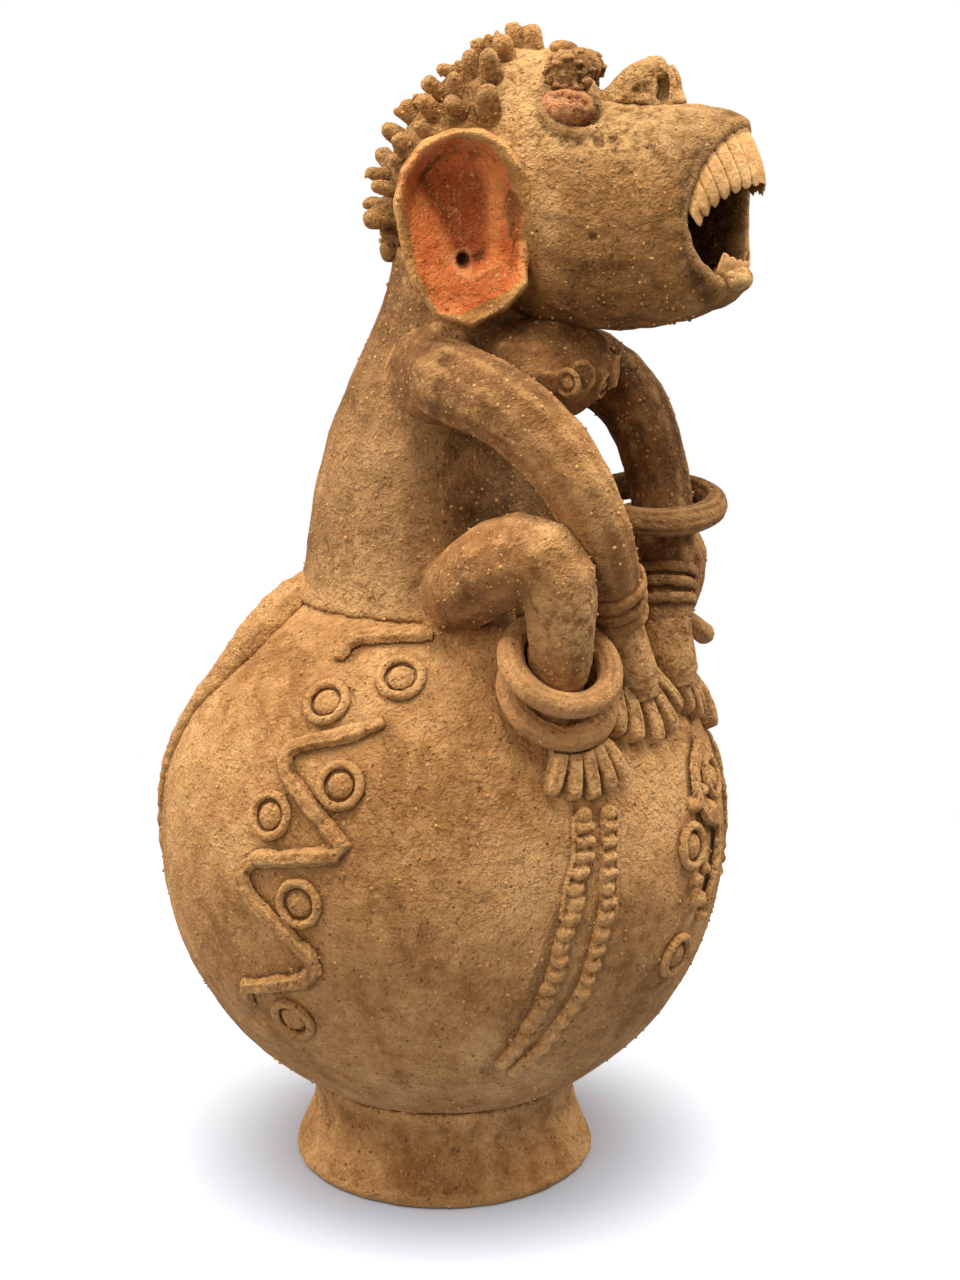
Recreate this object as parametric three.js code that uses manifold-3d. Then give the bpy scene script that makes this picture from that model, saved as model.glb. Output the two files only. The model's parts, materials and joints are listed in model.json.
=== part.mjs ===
// Monkey effigy vessel in terracotta: a monkey with open jaws sits on a globe with a flared foot.
// Millimetres, +Z up. The monkey faces -Y and its right side is -X.

import * as THREE from 'three';
import { mergeVertices } from 'three/addons/utils/BufferGeometryUtils.js';
import Module from 'manifold-3d';

const wasm = await Module();
wasm.setup();

// Driving dimensions
const GAP = 0.3; // clear space kept between pieces that touch
const WALL = 7.5; // clay wall of the hollow forms
const GLOBE_RADIUS = 105;
const GLOBE_HEIGHT = 126.5; // height of the globe's centre above the ground
const NECK_OPENING = 34; // radius of the globe's opening under the torso
const GLOBE_SIDES = 30; // facets round the globe and the foot
const GLOBE_ROWS = 14; // facets from the globe's bottom to its opening
const FOOT_RIM = 57; // outer radius of the foot on the ground
const FOOT_WAIST = 48; // outer radius of the foot where it meets the globe

// The torso from the globe to the skull: height, half width, half depth and place of its middle
const TORSO = [
  { z: 210, across: 51, deep: 50, y: 0 },
  { z: 236, across: 49, deep: 48, y: 0.5 },
  { z: 262, across: 46, deep: 44, y: 0 },
  { z: 287, across: 41, deep: 38, y: -3 },
  { z: 307, across: 35, deep: 33, y: -8 },
  { z: 323, across: 31, deep: 30, y: -13 },
  { z: 336, across: 30, deep: 31, y: -17 },
  { z: 348, across: 29, deep: 30, y: -18 },
];

// The head looks a little to its left. Its sizes are given before it is turned about the neck
const HEAD_TURN = 16;
const NECK_Y = -17;

// The head from the back of the skull to the lips: heights of its top and bottom, half width, how
// much narrower it is above than below, and how far the corners of the mouth are set back
const HEAD = [
  { y: 14, top: 370, bottom: 344, across: 13, egg: 0, setBack: 0 },
  { y: 5, top: 388, bottom: 332, across: 24, egg: 0, setBack: 0 },
  { y: -8, top: 401.5, bottom: 324, across: 34, egg: 0, setBack: 0 },
  { y: -28, top: 410, bottom: 319, across: 39.5, egg: 0.05, setBack: 0 },
  { y: -44, top: 409, bottom: 316.5, across: 39, egg: 0.14, setBack: 0 },
  { y: -54, top: 402, bottom: 315, across: 38, egg: 0.2, setBack: 0 },
  { y: -61, top: 392, bottom: 314.5, across: 37, egg: 0.1, setBack: 0 },
  { y: -76, top: 391.5, bottom: 315, across: 35.5, egg: 0, setBack: 1 },
  { y: -91, top: 391, bottom: 318, across: 33, egg: 0, setBack: 5 },
  { y: -103, top: 389, bottom: 323, across: 30.5, egg: 0, setBack: 10.5 },
  { y: -111, top: 386, bottom: 328, across: 28, egg: 0, setBack: 14 },
];
const LEFT_CHEEK = 0.32; // share of the set-back on the left, where the mouth's corner lies further forward
const CORNER_DROP = 0.25; // how far the mouth's corners sag, as a share of the set-back
const LIP_CURVE = { setBack: 1.4, drop: 4 }; // powers that shape the lips between middle and corner
const SKULL_BACK = { y: 16.5, z: 357 };
const SOCKET = { x: 19, y: -57, z: 389.5, across: 12, deep: 8.5, tall: 9 };
const LIP_WALL = 3.8; // thickness of the lips
const EYE_WALL = 11.5; // wall behind the eye sockets, thick enough to keep them closed

// The rings of the head's hollow from the lips inwards: place among the sections, and the wall there
const HOLLOW = [
  [10, LIP_WALL], [9, WALL], [7.8, WALL], [6, EYE_WALL], [4, EYE_WALL], [2.3, WALL], [1.2, WALL],
];
const POUCH = { x: 0, y: -42, z: 302 };
const NECK_HOLE = { across: 20, deep: 21, y: -17 };

// Limbs are runs of points with the radius of the clay coil at each
const ARM_RIGHT = [
  { x: -32, y: -12, z: 303, radius: 15 },
  { x: -42, y: -30, z: 301, radius: 14.5 },
  { x: -44, y: -53, z: 294.5, radius: 13.5 },
  { x: -42, y: -71, z: 283.5, radius: 12.8 },
  { x: -36, y: -82.5, z: 265, radius: 11.8 },
  { x: -26, y: -85, z: 244, radius: 11 },
  { x: -11.5, y: -80.2, z: 224.5, radius: 9.5 },
  { x: -7.6, y: -79.5, z: 216.4, radius: 9.1 },
];
const ARM_LEFT = [
  { x: 32, y: -12, z: 303, radius: 15 },
  { x: 40.5, y: -32, z: 300, radius: 14 },
  { x: 41, y: -49, z: 292, radius: 13 },
  { x: 41, y: -60, z: 278, radius: 12 },
  { x: 39.5, y: -67, z: 260, radius: 11.2 },
  { x: 35, y: -73, z: 241, radius: 10.5 },
  { x: 28.6, y: -77.4, z: 221.4, radius: 9.2 },
  { x: 26.4, y: -79.6, z: 211.4, radius: 8.8 },
];
const LEG_RIGHT = [
  { x: -37, y: -28, z: 226, radius: 15 },
  { x: -44, y: -42, z: 233, radius: 16 },
  { x: -48.5, y: -59, z: 242, radius: 15.5 },
  { x: -48, y: -73, z: 246, radius: 14 },
  { x: -46, y: -80, z: 236, radius: 13 },
  { x: -44.5, y: -79.3, z: 222, radius: 11.6 },
  { x: -41.8, y: -77.5, z: 209, radius: 10.4 },
  { x: -40.4, y: -75.6, z: 203.5, radius: 10.2 },
];
const LEG_LEFT = [
  { x: 40, y: -22, z: 227, radius: 13 },
  { x: 49, y: -34, z: 233, radius: 12.5 },
  { x: 56.5, y: -48, z: 236, radius: 12 },
  { x: 60.5, y: -59, z: 235, radius: 11.5 },
  { x: 60, y: -65, z: 226, radius: 10.3 },
  { x: 57, y: -64.5, z: 214, radius: 9.3 },
  { x: 54.2, y: -62.3, z: 205, radius: 8.8 },
  { x: 53.3, y: -61, z: 201.5, radius: 8.8 },
];

// Loose clay rings: radius of the ring's middle line, radius of the coil, centre and axis
const RINGS = {
  ankle_ring_right_upper: { x: -41, y: -77.3, z: 208.6, tilt: [-0.315, -0.55, 0.773], radius: 17.5, coil: 4.7 },
  ankle_ring_right_lower: { x: -38.5, y: -74.7, z: 197.4, tilt: [-0.337, -0.637, 0.694], radius: 17.5, coil: 4.7 },
  ankle_ring_left_upper: { x: 56.4, y: -63.5, z: 209.4, tilt: [0.444, -0.445, 0.778], radius: 15.8, coil: 4.2 },
  ankle_ring_left_lower: { x: 52.4, y: -61, z: 199.2, tilt: [0.484, -0.562, 0.671], radius: 15.8, coil: 4.2 },
  arm_ring_left: { x: 34.6, y: -68.9, z: 252, tilt: [-0.14, -0.1, 0.985], radius: 21, coil: 5.3 },
};

const RING_FACETS = [6, 16];
const TURN_ROOM = 0.2; // what a faceted ring's corners need when it turns

// Clay bands round each wrist: places along the arm's stations, and the band's width and relief
const BRACELETS_RIGHT = [5.66, 5.95, 6.62];
const BRACELETS_LEFT = [5.7, 6.04, 6.52];
const BRACELET = { wide: 4.6, high: 1.8 };

// Hands and feet: a palm or an ankle, and fingers or toes as raised bands from root to tip
const PALM_RIGHT = [
  { x: -7.8, y: -79.6, z: 216.9, radius: 8.7 },
  { x: -6.6, y: -81.5, z: 207, radius: 9.1 },
  { x: -5.3, y: -84.8, z: 196.5, radius: 9.4 },
];
const FINGERS_RIGHT = [
  [[-10.2, 48.5], [-14.4, 59]], [[-8.5, 49.5], [-9.3, 61]], [[-4.7, 50], [-2.7, 62]],
  [[-1, 49.5], [4.6, 61.5]], [[2.5, 48], [11.2, 58.5]],
];
const PALM_LEFT = [
  { x: 26.5, y: -79.5, z: 211.9, radius: 8.4 },
  { x: 25.2, y: -81.6, z: 203.3, radius: 8.3 },
  { x: 24.9, y: -84.2, z: 195.2, radius: 8.2 },
];
const FINGERS_LEFT = [
  [[14, 49], [17.5, 59.5]], [[17, 50], [22, 62.5]], [[20, 50.5], [26.5, 63.5]], [[23, 50], [29, 61.5]],
];
const FINGER = { half: 3, high: 6.5 };
const ANKLE_RIGHT = [
  { x: -40.5, y: -75.8, z: 204, radius: 9.8 },
  { x: -38.7, y: -73, z: 197, radius: 9.8 },
  { x: -35.5, y: -68, z: 186, radius: 9.8 },
];
const ANKLE_LEFT = [
  { x: 53.3, y: -61, z: 202, radius: 8.4 },
  { x: 51.8, y: -58.5, z: 194, radius: 8.8 },
  { x: 48, y: -54, z: 184, radius: 8.8 },
];
const TOES = [
  [[-29, 53], [-30, 60], [-33.4, 65.8]], [[-28, 53], [-27.4, 60.5], [-29, 67.2]],
  [[-27, 53], [-24.7, 60.5], [-24.7, 67.8]], [[-26, 53], [-22, 60.5], [-20.6, 66.8]],
  [[-25, 53], [-19.4, 60], [-16.3, 65.8]],
];
const TOE = { half: 2.9, high: 6 };
const UNDER_RINGS = 2.3; // height of the foot where it passes beneath the ankle rings

// Ornament on the globe, each place an azimuth and a polar angle. Places of pieces that come in
// pairs are given for the right side, and the left side mirrors them about the body's middle plane
const MIDDLE_PLANE = 7;
const TAIL = [
  { azimuth: -141, polar: 27, half: 9, high: 5.5 },
  { azimuth: -134, polar: 33, half: 9.5, high: 6.5 },
  { azimuth: -128, polar: 42, half: 9, high: 5.8 },
  { azimuth: -129, polar: 51, half: 6, high: 3.2 },
  { azimuth: -137, polar: 64, half: 3.6, high: 2 },
  { azimuth: -146, polar: 84, half: 3.2, high: 1.8 },
  { azimuth: -149, polar: 104, half: 3, high: 1.8 },
  { azimuth: -150, polar: 126, half: 2.4, high: 1.5 },
];
const SCROLL = [[-57.5, 33.8], [-68, 34.2], [-79, 35], [-85, 37.3], [-85.5, 41]];
const ZIGZAG = [
  [-68, 53.2], [-78, 56.6], [-88, 59.5], [-88.5, 64], [-77, 73], [-73.5, 77.5], [-83, 79.5], [-93.5, 82],
  [-94, 87.5], [-86, 93], [-79.5, 98.5], [-82.5, 103.5], [-97.5, 108.3], [-97.5, 113],
];
const BAND = { half: 3.4, high: 2.8 };
const ROUNDELS = [[-65.7, 43.8], [-83.5, 50.2], [-75.4, 65.5], [-89.8, 72.8], [-81.8, 87.8], [-87, 113.5]];
const FRONT_ROUNDELS = [[16.6, 73.6], [1.5, 83.5], [-1.5, 105]];
const ROUNDEL = { disc: 4.6, groove: 5.6, ring: 7.3, rim: 8.8, high: 2.6 };
const FRONT_SCROLL = [
  [13.5, 65], [14, 66.3], [8.5, 69.5], [6, 74.5], [8.5, 79.5], [14, 82.5], [12.5, 88], [9, 93], [7, 99],
];
const BEAD_ROWS = [
  [[-27, 71], [-31, 86], [-35.5, 100], [-39, 114], [-45, 127]],
  [[-21.5, 71], [-23.5, 86], [-26.5, 100], [-31.5, 114], [-38, 127]],
];
const BEADS = { count: 11, half: 3.2, high: 3.2 };

// Teeth
const UPPER_TEETH = { count: 14, from: 14, to: 166, thick: 4.2 };
const LOWER_TEETH = { count: 8, from: 238, to: 302, thick: 3.4 };

// Materials
const paint = (color, roughness) => new THREE.MeshStandardMaterial({ color, roughness, metalness: 0 });
const CLAY = paint('#a9794b', 0.93);
const DARK_CLAY = paint('#7d5c3d', 0.94);
const RED_CLAY = paint('#b5613a', 0.9);
const TEETH = paint('#cdb184', 0.85);

const TAU = Math.PI * 2;
const UP = new THREE.Vector3(0, 0, 1);
const GLOBE_CENTRE = new THREE.Vector3(0, 0, GLOBE_HEIGHT);

// Turns a geometry's faces outward and drops everything but positions
function tidy(geometry) {
  const bare = new THREE.BufferGeometry();
  bare.setAttribute('position', geometry.getAttribute('position'));
  bare.setIndex(geometry.index);
  const merged = mergeVertices(bare, 1e-4);
  const place = merged.getAttribute('position');
  const faces = [];
  let volume = 0;
  for (let i = 0; i < merged.index.count; i += 3) {
    const [a, b, c] = [0, 1, 2].map((k) => merged.index.getX(i + k));
    if (a === b || b === c || a === c) continue;
    faces.push([a, b, c]);
    const [p, q, r] = [a, b, c].map((n) => new THREE.Vector3().fromBufferAttribute(place, n));
    volume += p.dot(q.cross(r));
  }
  merged.setIndex(faces.flatMap(([a, b, c]) => (volume < 0 ? [a, c, b] : [a, b, c])));
  return merged;
}

// Skins a row of rings. A loop joins the last ring to the first, and otherwise the ends are closed
function loft(rings, { loop = false, start = null, end = null } = {}) {
  const sides = rings[0].length;
  const points = rings.flat();
  const index = [];
  const bands = loop ? rings.length : rings.length - 1;
  for (let i = 0; i < bands; i += 1) {
    const near = i * sides;
    const far = ((i + 1) % rings.length) * sides;
    for (let j = 0; j < sides; j += 1) {
      const k = (j + 1) % sides;
      index.push(near + j, near + k, far + k, near + j, far + k, far + j);
    }
  }
  if (!loop) {
    const last = (rings.length - 1) * sides;
    const first = points.push(start ?? middle(rings[0])) - 1;
    const final = points.push(end ?? middle(rings.at(-1))) - 1;
    for (let j = 0; j < sides; j += 1) {
      const k = (j + 1) % sides;
      index.push(first, k, j, final, last + j, last + k);
    }
  }
  const geometry = new THREE.BufferGeometry().setFromPoints(points);
  geometry.setIndex(index);
  return tidy(geometry);
}

function middle(points) {
  const sum = points.reduce((total, point) => total.add(point), new THREE.Vector3());
  return sum.divideScalar(points.length);
}

// A smooth value between stations. A place of 1.5 is halfway from the second to the third
function sample(stations, place) {
  const i = Math.min(Math.floor(place), stations.length - 2);
  const t = place - i;
  const [before, from, to, after] = [i - 1, i, i + 1, i + 2].map(
    (n) => stations[THREE.MathUtils.clamp(n, 0, stations.length - 1)],
  );
  const result = {};
  for (const key of Object.keys(from)) {
    const slopeFrom = (to[key] - before[key]) / 2;
    const slopeTo = (after[key] - from[key]) / 2;
    const bend = from[key] - to[key];
    result[key] = from[key] + slopeFrom * t
      + (-3 * bend - 2 * slopeFrom - slopeTo) * t ** 2
      + (2 * bend + slopeFrom + slopeTo) * t ** 3;
  }
  return result;
}

// Evenly spaced places from the first station to the last
function places(stations, steps) {
  return Array.from({ length: steps + 1 }, (_, i) => (i / steps) * (stations.length - 1));
}

function turn(sides, point) {
  return Array.from({ length: sides }, (_, j) => point((TAU * j) / sides));
}

// Solids that manifold joins and cuts
function solid(geometry) {
  const vertProperties = new Float32Array(geometry.getAttribute('position').array);
  const triVerts = new Uint32Array(geometry.index.array);
  return new wasm.Manifold(new wasm.Mesh({ numProp: 3, vertProperties, triVerts }));
}

function surface(manifold) {
  const mesh = manifold.getMesh();
  const geometry = new THREE.BufferGeometry();
  geometry.setAttribute('position', new THREE.BufferAttribute(mesh.vertProperties, 3));
  geometry.setIndex(new THREE.BufferAttribute(mesh.triVerts, 1));
  return geometry;
}

function cut(geometry, ...tools) {
  return surface(tools.reduce((whole, tool) => whole.subtract(solid(tool)), solid(geometry)));
}

function join(...geometries) {
  return surface(geometries.slice(1).reduce((whole, next) => whole.add(solid(next)), solid(geometries[0])));
}

// A tapering clay coil along its stations, with round or flat ends
function coil(stations, { sides = 12, steps = 12, grow = 0, roundStart = true, roundEnd = true } = {}) {
  const line = places(stations, steps).map((place) => sample(stations, place));
  const points = line.map(({ x, y, z }) => new THREE.Vector3(x, y, z));
  const rings = [];
  let side = new THREE.Vector3(1, 0.1, 0.1);
  let start = null;
  let end = null;
  const ring = (centre, radius, across, over) => turn(sides, (angle) => centre.clone()
    .addScaledVector(across, radius * Math.cos(angle))
    .addScaledVector(over, radius * Math.sin(angle)));
  points.forEach((point, i) => {
    const ahead = points[Math.min(i + 1, steps)].clone().sub(points[Math.max(i - 1, 0)]).normalize();
    side = side.clone().addScaledVector(ahead, -side.dot(ahead)).normalize();
    const over = ahead.clone().cross(side);
    const radius = line[i].radius + grow;
    if (i === 0) point.addScaledVector(ahead, -grow);
    if (i === steps) point.addScaledVector(ahead, grow);
    const bulge = (reach) => ring(
      point.clone().addScaledVector(ahead, reach * radius), radius * Math.sqrt(1 - reach ** 2), side, over);
    if (i === 0 && roundStart) {
      start = point.clone().addScaledVector(ahead, -radius);
      rings.push(bulge(-0.8));
    }
    rings.push(ring(point, radius, side, over));
    if (i === steps && roundEnd) {
      end = point.clone().addScaledVector(ahead, radius);
      rings.push(bulge(0.8));
    }
  });
  return loft(rings, { start, end });
}

// An egg-shaped lump of clay
function lump({ x, y, z }, { across, deep, tall }, { grow = 0, sides = 14, rows = 7 } = {}) {
  const rings = Array.from({ length: rows - 1 }, (_, i) => {
    const polar = (Math.PI * (i + 1)) / rows;
    return turn(sides, (angle) => new THREE.Vector3(
      x + (across + grow) * Math.sin(polar) * Math.cos(angle),
      y + (deep + grow) * Math.sin(polar) * Math.sin(angle),
      z + (tall + grow) * Math.cos(polar),
    ));
  });
  const start = new THREE.Vector3(x, y, z + tall + grow);
  const end = new THREE.Vector3(x, y, z - tall - grow);
  return loft(rings, { start, end });
}

// Directions from the globe's centre. Azimuth 0 is the front and polar 0 is the top, in degrees
function heading(azimuth, polar) {
  const a = THREE.MathUtils.degToRad(azimuth);
  const p = THREE.MathUtils.degToRad(polar);
  return new THREE.Vector3(Math.sin(a) * Math.sin(p), -Math.cos(a) * Math.sin(p), Math.cos(p));
}

// A raised band that follows the globe. Stations hold azimuth, polar, half width and height
const ROUND_SECTION = [[-1, 0], [-0.75, 0.8], [0, 1.05], [0.75, 0.8], [1, 0]];
const PLAIN_SECTION = [[-1, 0], [-0.55, 1], [0.55, 1], [1, 0]];

function band(line, section = ROUND_SECTION) {
  const last = line.length - 1;
  const ways = line.map(({ azimuth, polar }) => heading(azimuth, polar));
  return loft(ways.map((way, i) => {
    const ahead = ways[Math.min(i + 1, last)].clone().sub(ways[Math.max(i - 1, 0)]).normalize();
    const side = way.clone().cross(ahead).normalize();
    const { half, high } = line[i];
    return section.map(([wide, tall]) => way.clone().multiplyScalar(GLOBE_RADIUS)
      .addScaledVector(side, wide * half)
      .setLength(GLOBE_RADIUS + GAP + tall * high)
      .add(GLOBE_CENTRE));
  }));
}

function along(stations, steps) {
  return places(stations, steps).map((place) => sample(stations, place));
}

// Stations on the globe. A side of -1 is the right, 1 the left, and 0 a piece without a pair
function stationsOf(points, side = 0) {
  return points.map(([azimuth, polar]) => ({ azimuth: onSide(azimuth, side), polar }));
}

function onSide(azimuth, side) {
  return side > 0 ? 2 * MIDDLE_PLANE - azimuth : azimuth;
}

// A finger thins to a blunt tip
function finger(ends, { half, high }) {
  const line = along(stationsOf(ends), 3);
  const taper = [[1, 1.05], [1, 0.95], [0.92, 0.78], [0.55, 0.5]];
  return band(line.map((station, i) => ({ ...station, half: half * taper[i][0], high: high * taper[i][1] })));
}

// A toe is low where it passes beneath the ankle rings
function toe([root, knuckle, tip], { half, high }, side) {
  const between = [(knuckle[0] + tip[0]) / 2, (knuckle[1] + tip[1]) / 2];
  const stations = stationsOf([root, knuckle, between, tip], side);
  const shape = [[1, UNDER_RINGS], [1, high], [1, high * 0.85], [0.55, high * 0.5]];
  return band(stations.map((station, i) => ({ ...station, half: half * shape[i][0], high: shape[i][1] })));
}

// A row of clay beads pressed into one another
function beadRow(points, side) {
  const line = along(stationsOf(points, side), BEADS.count * 2);
  return band(line.map((station, i) => {
    const swell = i % 2 ? 1 : 0.5;
    return { ...station, half: BEADS.half * swell, high: BEADS.high * swell };
  }), PLAIN_SECTION);
}

// A plain band of even section with blunt ends
function ribbon(points, steps, side) {
  const line = along(stationsOf(points, side), steps);
  return band(line.map((station, i) => {
    const swell = i === 0 || i === steps ? 0.6 : 1;
    return { ...station, half: BAND.half * swell, high: BAND.high * swell };
  }), PLAIN_SECTION);
}

// A disc in a ring, in a frame whose origin is the globe's centre and whose +Z is the roundel's axis
function roundel(curve = GLOBE_RADIUS, sides = 8) {
  const { disc, groove, ring, rim, high } = ROUNDEL;
  const circle = (radius, height) => turn(sides, (angle) => new THREE.Vector3(
    radius * Math.cos(angle), radius * Math.sin(angle), curve).setLength(curve + GAP + height));
  const start = new THREE.Vector3(0, 0, curve + GAP + high * 0.85);
  const end = new THREE.Vector3(0, 0, curve + GAP);
  return loft([circle(disc, high * 0.8), circle(groove, high * 0.3), circle(ring, high), circle(rim, 0)],
    { start, end });
}

// The globe. Its solid cuts the pieces that sit on it, so it shares the shell's rows of facets
function globeRing(radius, polar) {
  return turn(GLOBE_SIDES, (angle) => new THREE.Vector3(
    radius * Math.sin(polar) * Math.cos(angle),
    radius * Math.sin(polar) * Math.sin(angle),
    GLOBE_HEIGHT + radius * Math.cos(polar),
  ));
}

function globeRows(radius, rows) {
  const opening = Math.asin(NECK_OPENING / radius);
  return Array.from({ length: rows }, (_, i) => Math.PI + ((opening - Math.PI) * (i + 1)) / rows);
}

function globeBall(grow) {
  const radius = GLOBE_RADIUS + grow;
  const polars = globeRows(GLOBE_RADIUS, GLOBE_ROWS);
  const rings = [...polars, polars.at(-1) / 2].map((polar) => globeRing(radius, polar));
  const start = new THREE.Vector3(0, 0, GLOBE_HEIGHT - radius);
  const end = new THREE.Vector3(0, 0, GLOBE_HEIGHT + radius);
  return loft(rings, { start, end });
}

function globeShell() {
  const inner = GLOBE_RADIUS - WALL;
  const rings = [
    ...globeRows(GLOBE_RADIUS, GLOBE_ROWS).map((polar) => globeRing(GLOBE_RADIUS, polar)),
    ...globeRows(inner, 7).reverse().map((polar) => globeRing(inner, polar)),
  ];
  const start = new THREE.Vector3(0, 0, GLOBE_HEIGHT - GLOBE_RADIUS);
  const end = new THREE.Vector3(0, 0, GLOBE_HEIGHT - inner);
  return loft(rings, { start, end });
}

// The foot: a hollow flaring ring whose upper edge fits the globe
function footRing() {
  const seat = (radius) => GLOBE_HEIGHT - Math.sqrt((GLOBE_RADIUS + GAP) ** 2 - radius ** 2);
  const inside = FOOT_WAIST - WALL;
  const profile = [
    [FOOT_RIM - 1.5, 0], [FOOT_RIM, 2.5], [FOOT_RIM - 3, 9], [FOOT_RIM - 7.5, 20],
    [FOOT_WAIST, seat(FOOT_WAIST)], [inside, seat(inside)], [inside + 2, 16], [FOOT_RIM - 8.5, 0],
  ];
  const points = [...profile, profile[0]].map(([radius, z]) => new THREE.Vector2(radius, z));
  return tidy(new THREE.LatheGeometry(points, GLOBE_SIDES).rotateX(Math.PI / 2));
}

// Torso sections. The lowest one lies on the globe
function torsoRings(steps, inset) {
  return places(TORSO, steps).map((place, i) => {
    const { z, across, deep, y } = sample(TORSO, place);
    return turn(20, (angle) => {
      const point = new THREE.Vector3(
        (across - inset) * Math.cos(angle), y + (deep - inset) * Math.sin(angle), z);
      return i === 0 ? point.setZ(onTop(point.x, point.y)) : point;
    });
  });
}

// Height of the globe's skin, with the gap, above a point
function onTop(x, y) {
  return GLOBE_HEIGHT + Math.sqrt((GLOBE_RADIUS + GAP) ** 2 - x ** 2 - y ** 2);
}

function torsoSolid(grow) {
  const rings = torsoRings(8, -grow);
  const below = rings[0].map((point) => point.clone().setZ(GLOBE_HEIGHT));
  return loft([below, ...rings]);
}

function torsoShell() {
  const shell = loft([...torsoRings(8, 0), ...torsoRings(4, WALL).reverse()], { loop: true });
  return cut(shell, turnHead(headSolid(GAP)));
}

// Head sections, square to Y. The angle runs from the left side over the top
function headPoint(place, angle, inset = 0) {
  const { y, top, bottom, across, egg, setBack } = sample(HEAD, place);
  const half = (top - bottom) / 2;
  const narrow = 1 - egg * Math.sin(angle);
  const aside = Math.cos(angle);
  return new THREE.Vector3(
    (across * narrow - inset) * aside,
    y + setBack * Math.abs(aside) ** LIP_CURVE.setBack * (aside > 0 ? LEFT_CHEEK : 1),
    (top + bottom) / 2 + (half - inset) * Math.sin(angle)
      - setBack * CORNER_DROP * aside ** LIP_CURVE.drop,
  );
}

function turnHead(geometry) {
  const turned = geometry.clone();
  turned.translate(0, -NECK_Y, 0);
  turned.rotateZ(THREE.MathUtils.degToRad(HEAD_TURN));
  turned.translate(0, NECK_Y, 0);
  return turned;
}

function headRing(place, inset) {
  return turn(20, (angle) => headPoint(place, angle, inset));
}

function headSolid(grow) {
  const rings = places(HEAD, 12).map((place) => headRing(place, -grow));
  const start = new THREE.Vector3(0, SKULL_BACK.y + grow, SKULL_BACK.z);
  rings.at(-1).forEach((point) => point.setY(point.y - grow));
  return loft(rings, { start });
}

// The hollow eye sockets, which the pellets of the eyes sit in
function socket(side, grow) {
  const { x, y, z } = SOCKET;
  return lump({ x: side * x, y, z }, SOCKET, { grow, sides: 12, rows: 6 });
}

function headShell() {
  const outer = places(HEAD, 12).map((place) => headRing(place, 0));
  const inner = HOLLOW.map(([place, wall]) => headRing(place, wall));
  const start = new THREE.Vector3(0, SKULL_BACK.y, SKULL_BACK.z);
  const end = new THREE.Vector3(0, SKULL_BACK.y - WALL - 4, SKULL_BACK.z);
  const shell = cut(loft([...outer, ...inner], { start, end }), socket(-1, 0), socket(1, 0));
  return cut(turnHead(join(shell, ...hairSpikes())), neckHole());
}

// A piece seated on the head, and turned with it
function onHead(geometry) {
  return turnHead(cut(geometry, headSolid(GAP)));
}

function neckHole() {
  const { across, deep, y } = NECK_HOLE;
  const ring = (z) => turn(14, (angle) => new THREE.Vector3(
    across * Math.cos(angle), y + deep * Math.sin(angle), z));
  return loft([ring(300), ring(345)]);
}

// Blunt spikes of hair in staggered rows from the crown to the nape
const HAIR_ROWS = [
  { place: 0.15, count: 3, from: 0, to: 180 },
  { place: 0.75, count: 6, from: -8, to: 188 },
  { place: 1.45, count: 8, from: 0, to: 180 },
  { place: 2.0, count: 9, from: 18, to: 162 },
  { place: 2.5, count: 8, from: 33, to: 147 },
  { place: 2.95, count: 5, from: 60, to: 120 },
];
const SPIKE = { length: 9, root: 3.9, tip: 2.8, sunk: 1.2 };

function hairSpikes() {
  const spikes = [];
  HAIR_ROWS.forEach(({ place, count, from, to }) => {
    for (let i = 0; i < count; i += 1) {
      const angle = THREE.MathUtils.degToRad(from + ((to - from) * i) / (count - 1));
      spikes.push(spike(place, angle));
    }
  });
  return spikes;
}

function spike(place, angle) {
  const step = 0.02;
  const root = headPoint(place, angle);
  const along = headPoint(place + step, angle).sub(headPoint(place - step > 0 ? place - step : 0, angle));
  const around = headPoint(place, angle + step).sub(headPoint(place, angle - step));
  const out = around.cross(along).normalize();
  if (out.dot(root.clone().sub(new THREE.Vector3(0, -35, 365))) < 0) out.negate();
  const side = new THREE.Vector3(1, 0.2, 0.1).cross(out).normalize();
  const over = out.clone().cross(side);
  const ring = (height, radius) => turn(4, (a) => root.clone().addScaledVector(out, height)
    .addScaledVector(side, radius * Math.cos(a)).addScaledVector(over, radius * Math.sin(a)));
  const end = root.clone().addScaledVector(out, SPIKE.length);
  return loft([ring(-SPIKE.sunk, SPIKE.root), ring(SPIKE.length - 1.2, SPIKE.tip)], { end });
}

// Ears: cupped dishes that stand out from the skull
const EAR = { x: 51, y: -27.7, z: 350.5, swing: 22, scale: 0.95 };
const EAR_OUTLINE = [
  [2.8, 34], [17, 27], [23.4, 12.8], [21.3, -5], [14.6, -23.8], [0.7, -34],
  [-16, -27.3], [-23.8, -16.3], [-20, -3.2], [-22.7, 11], [-18.5, 25.2], [-9.6, 33],
];
const EAR_RINGS = [[0.5, -14], [0.85, -10], [1, -1.5], [0.95, 2.5], [0.82, 0.5], [0.5, -7]];
const EAR_FLOOR = -8.5; // depth of the dish in its middle

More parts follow.
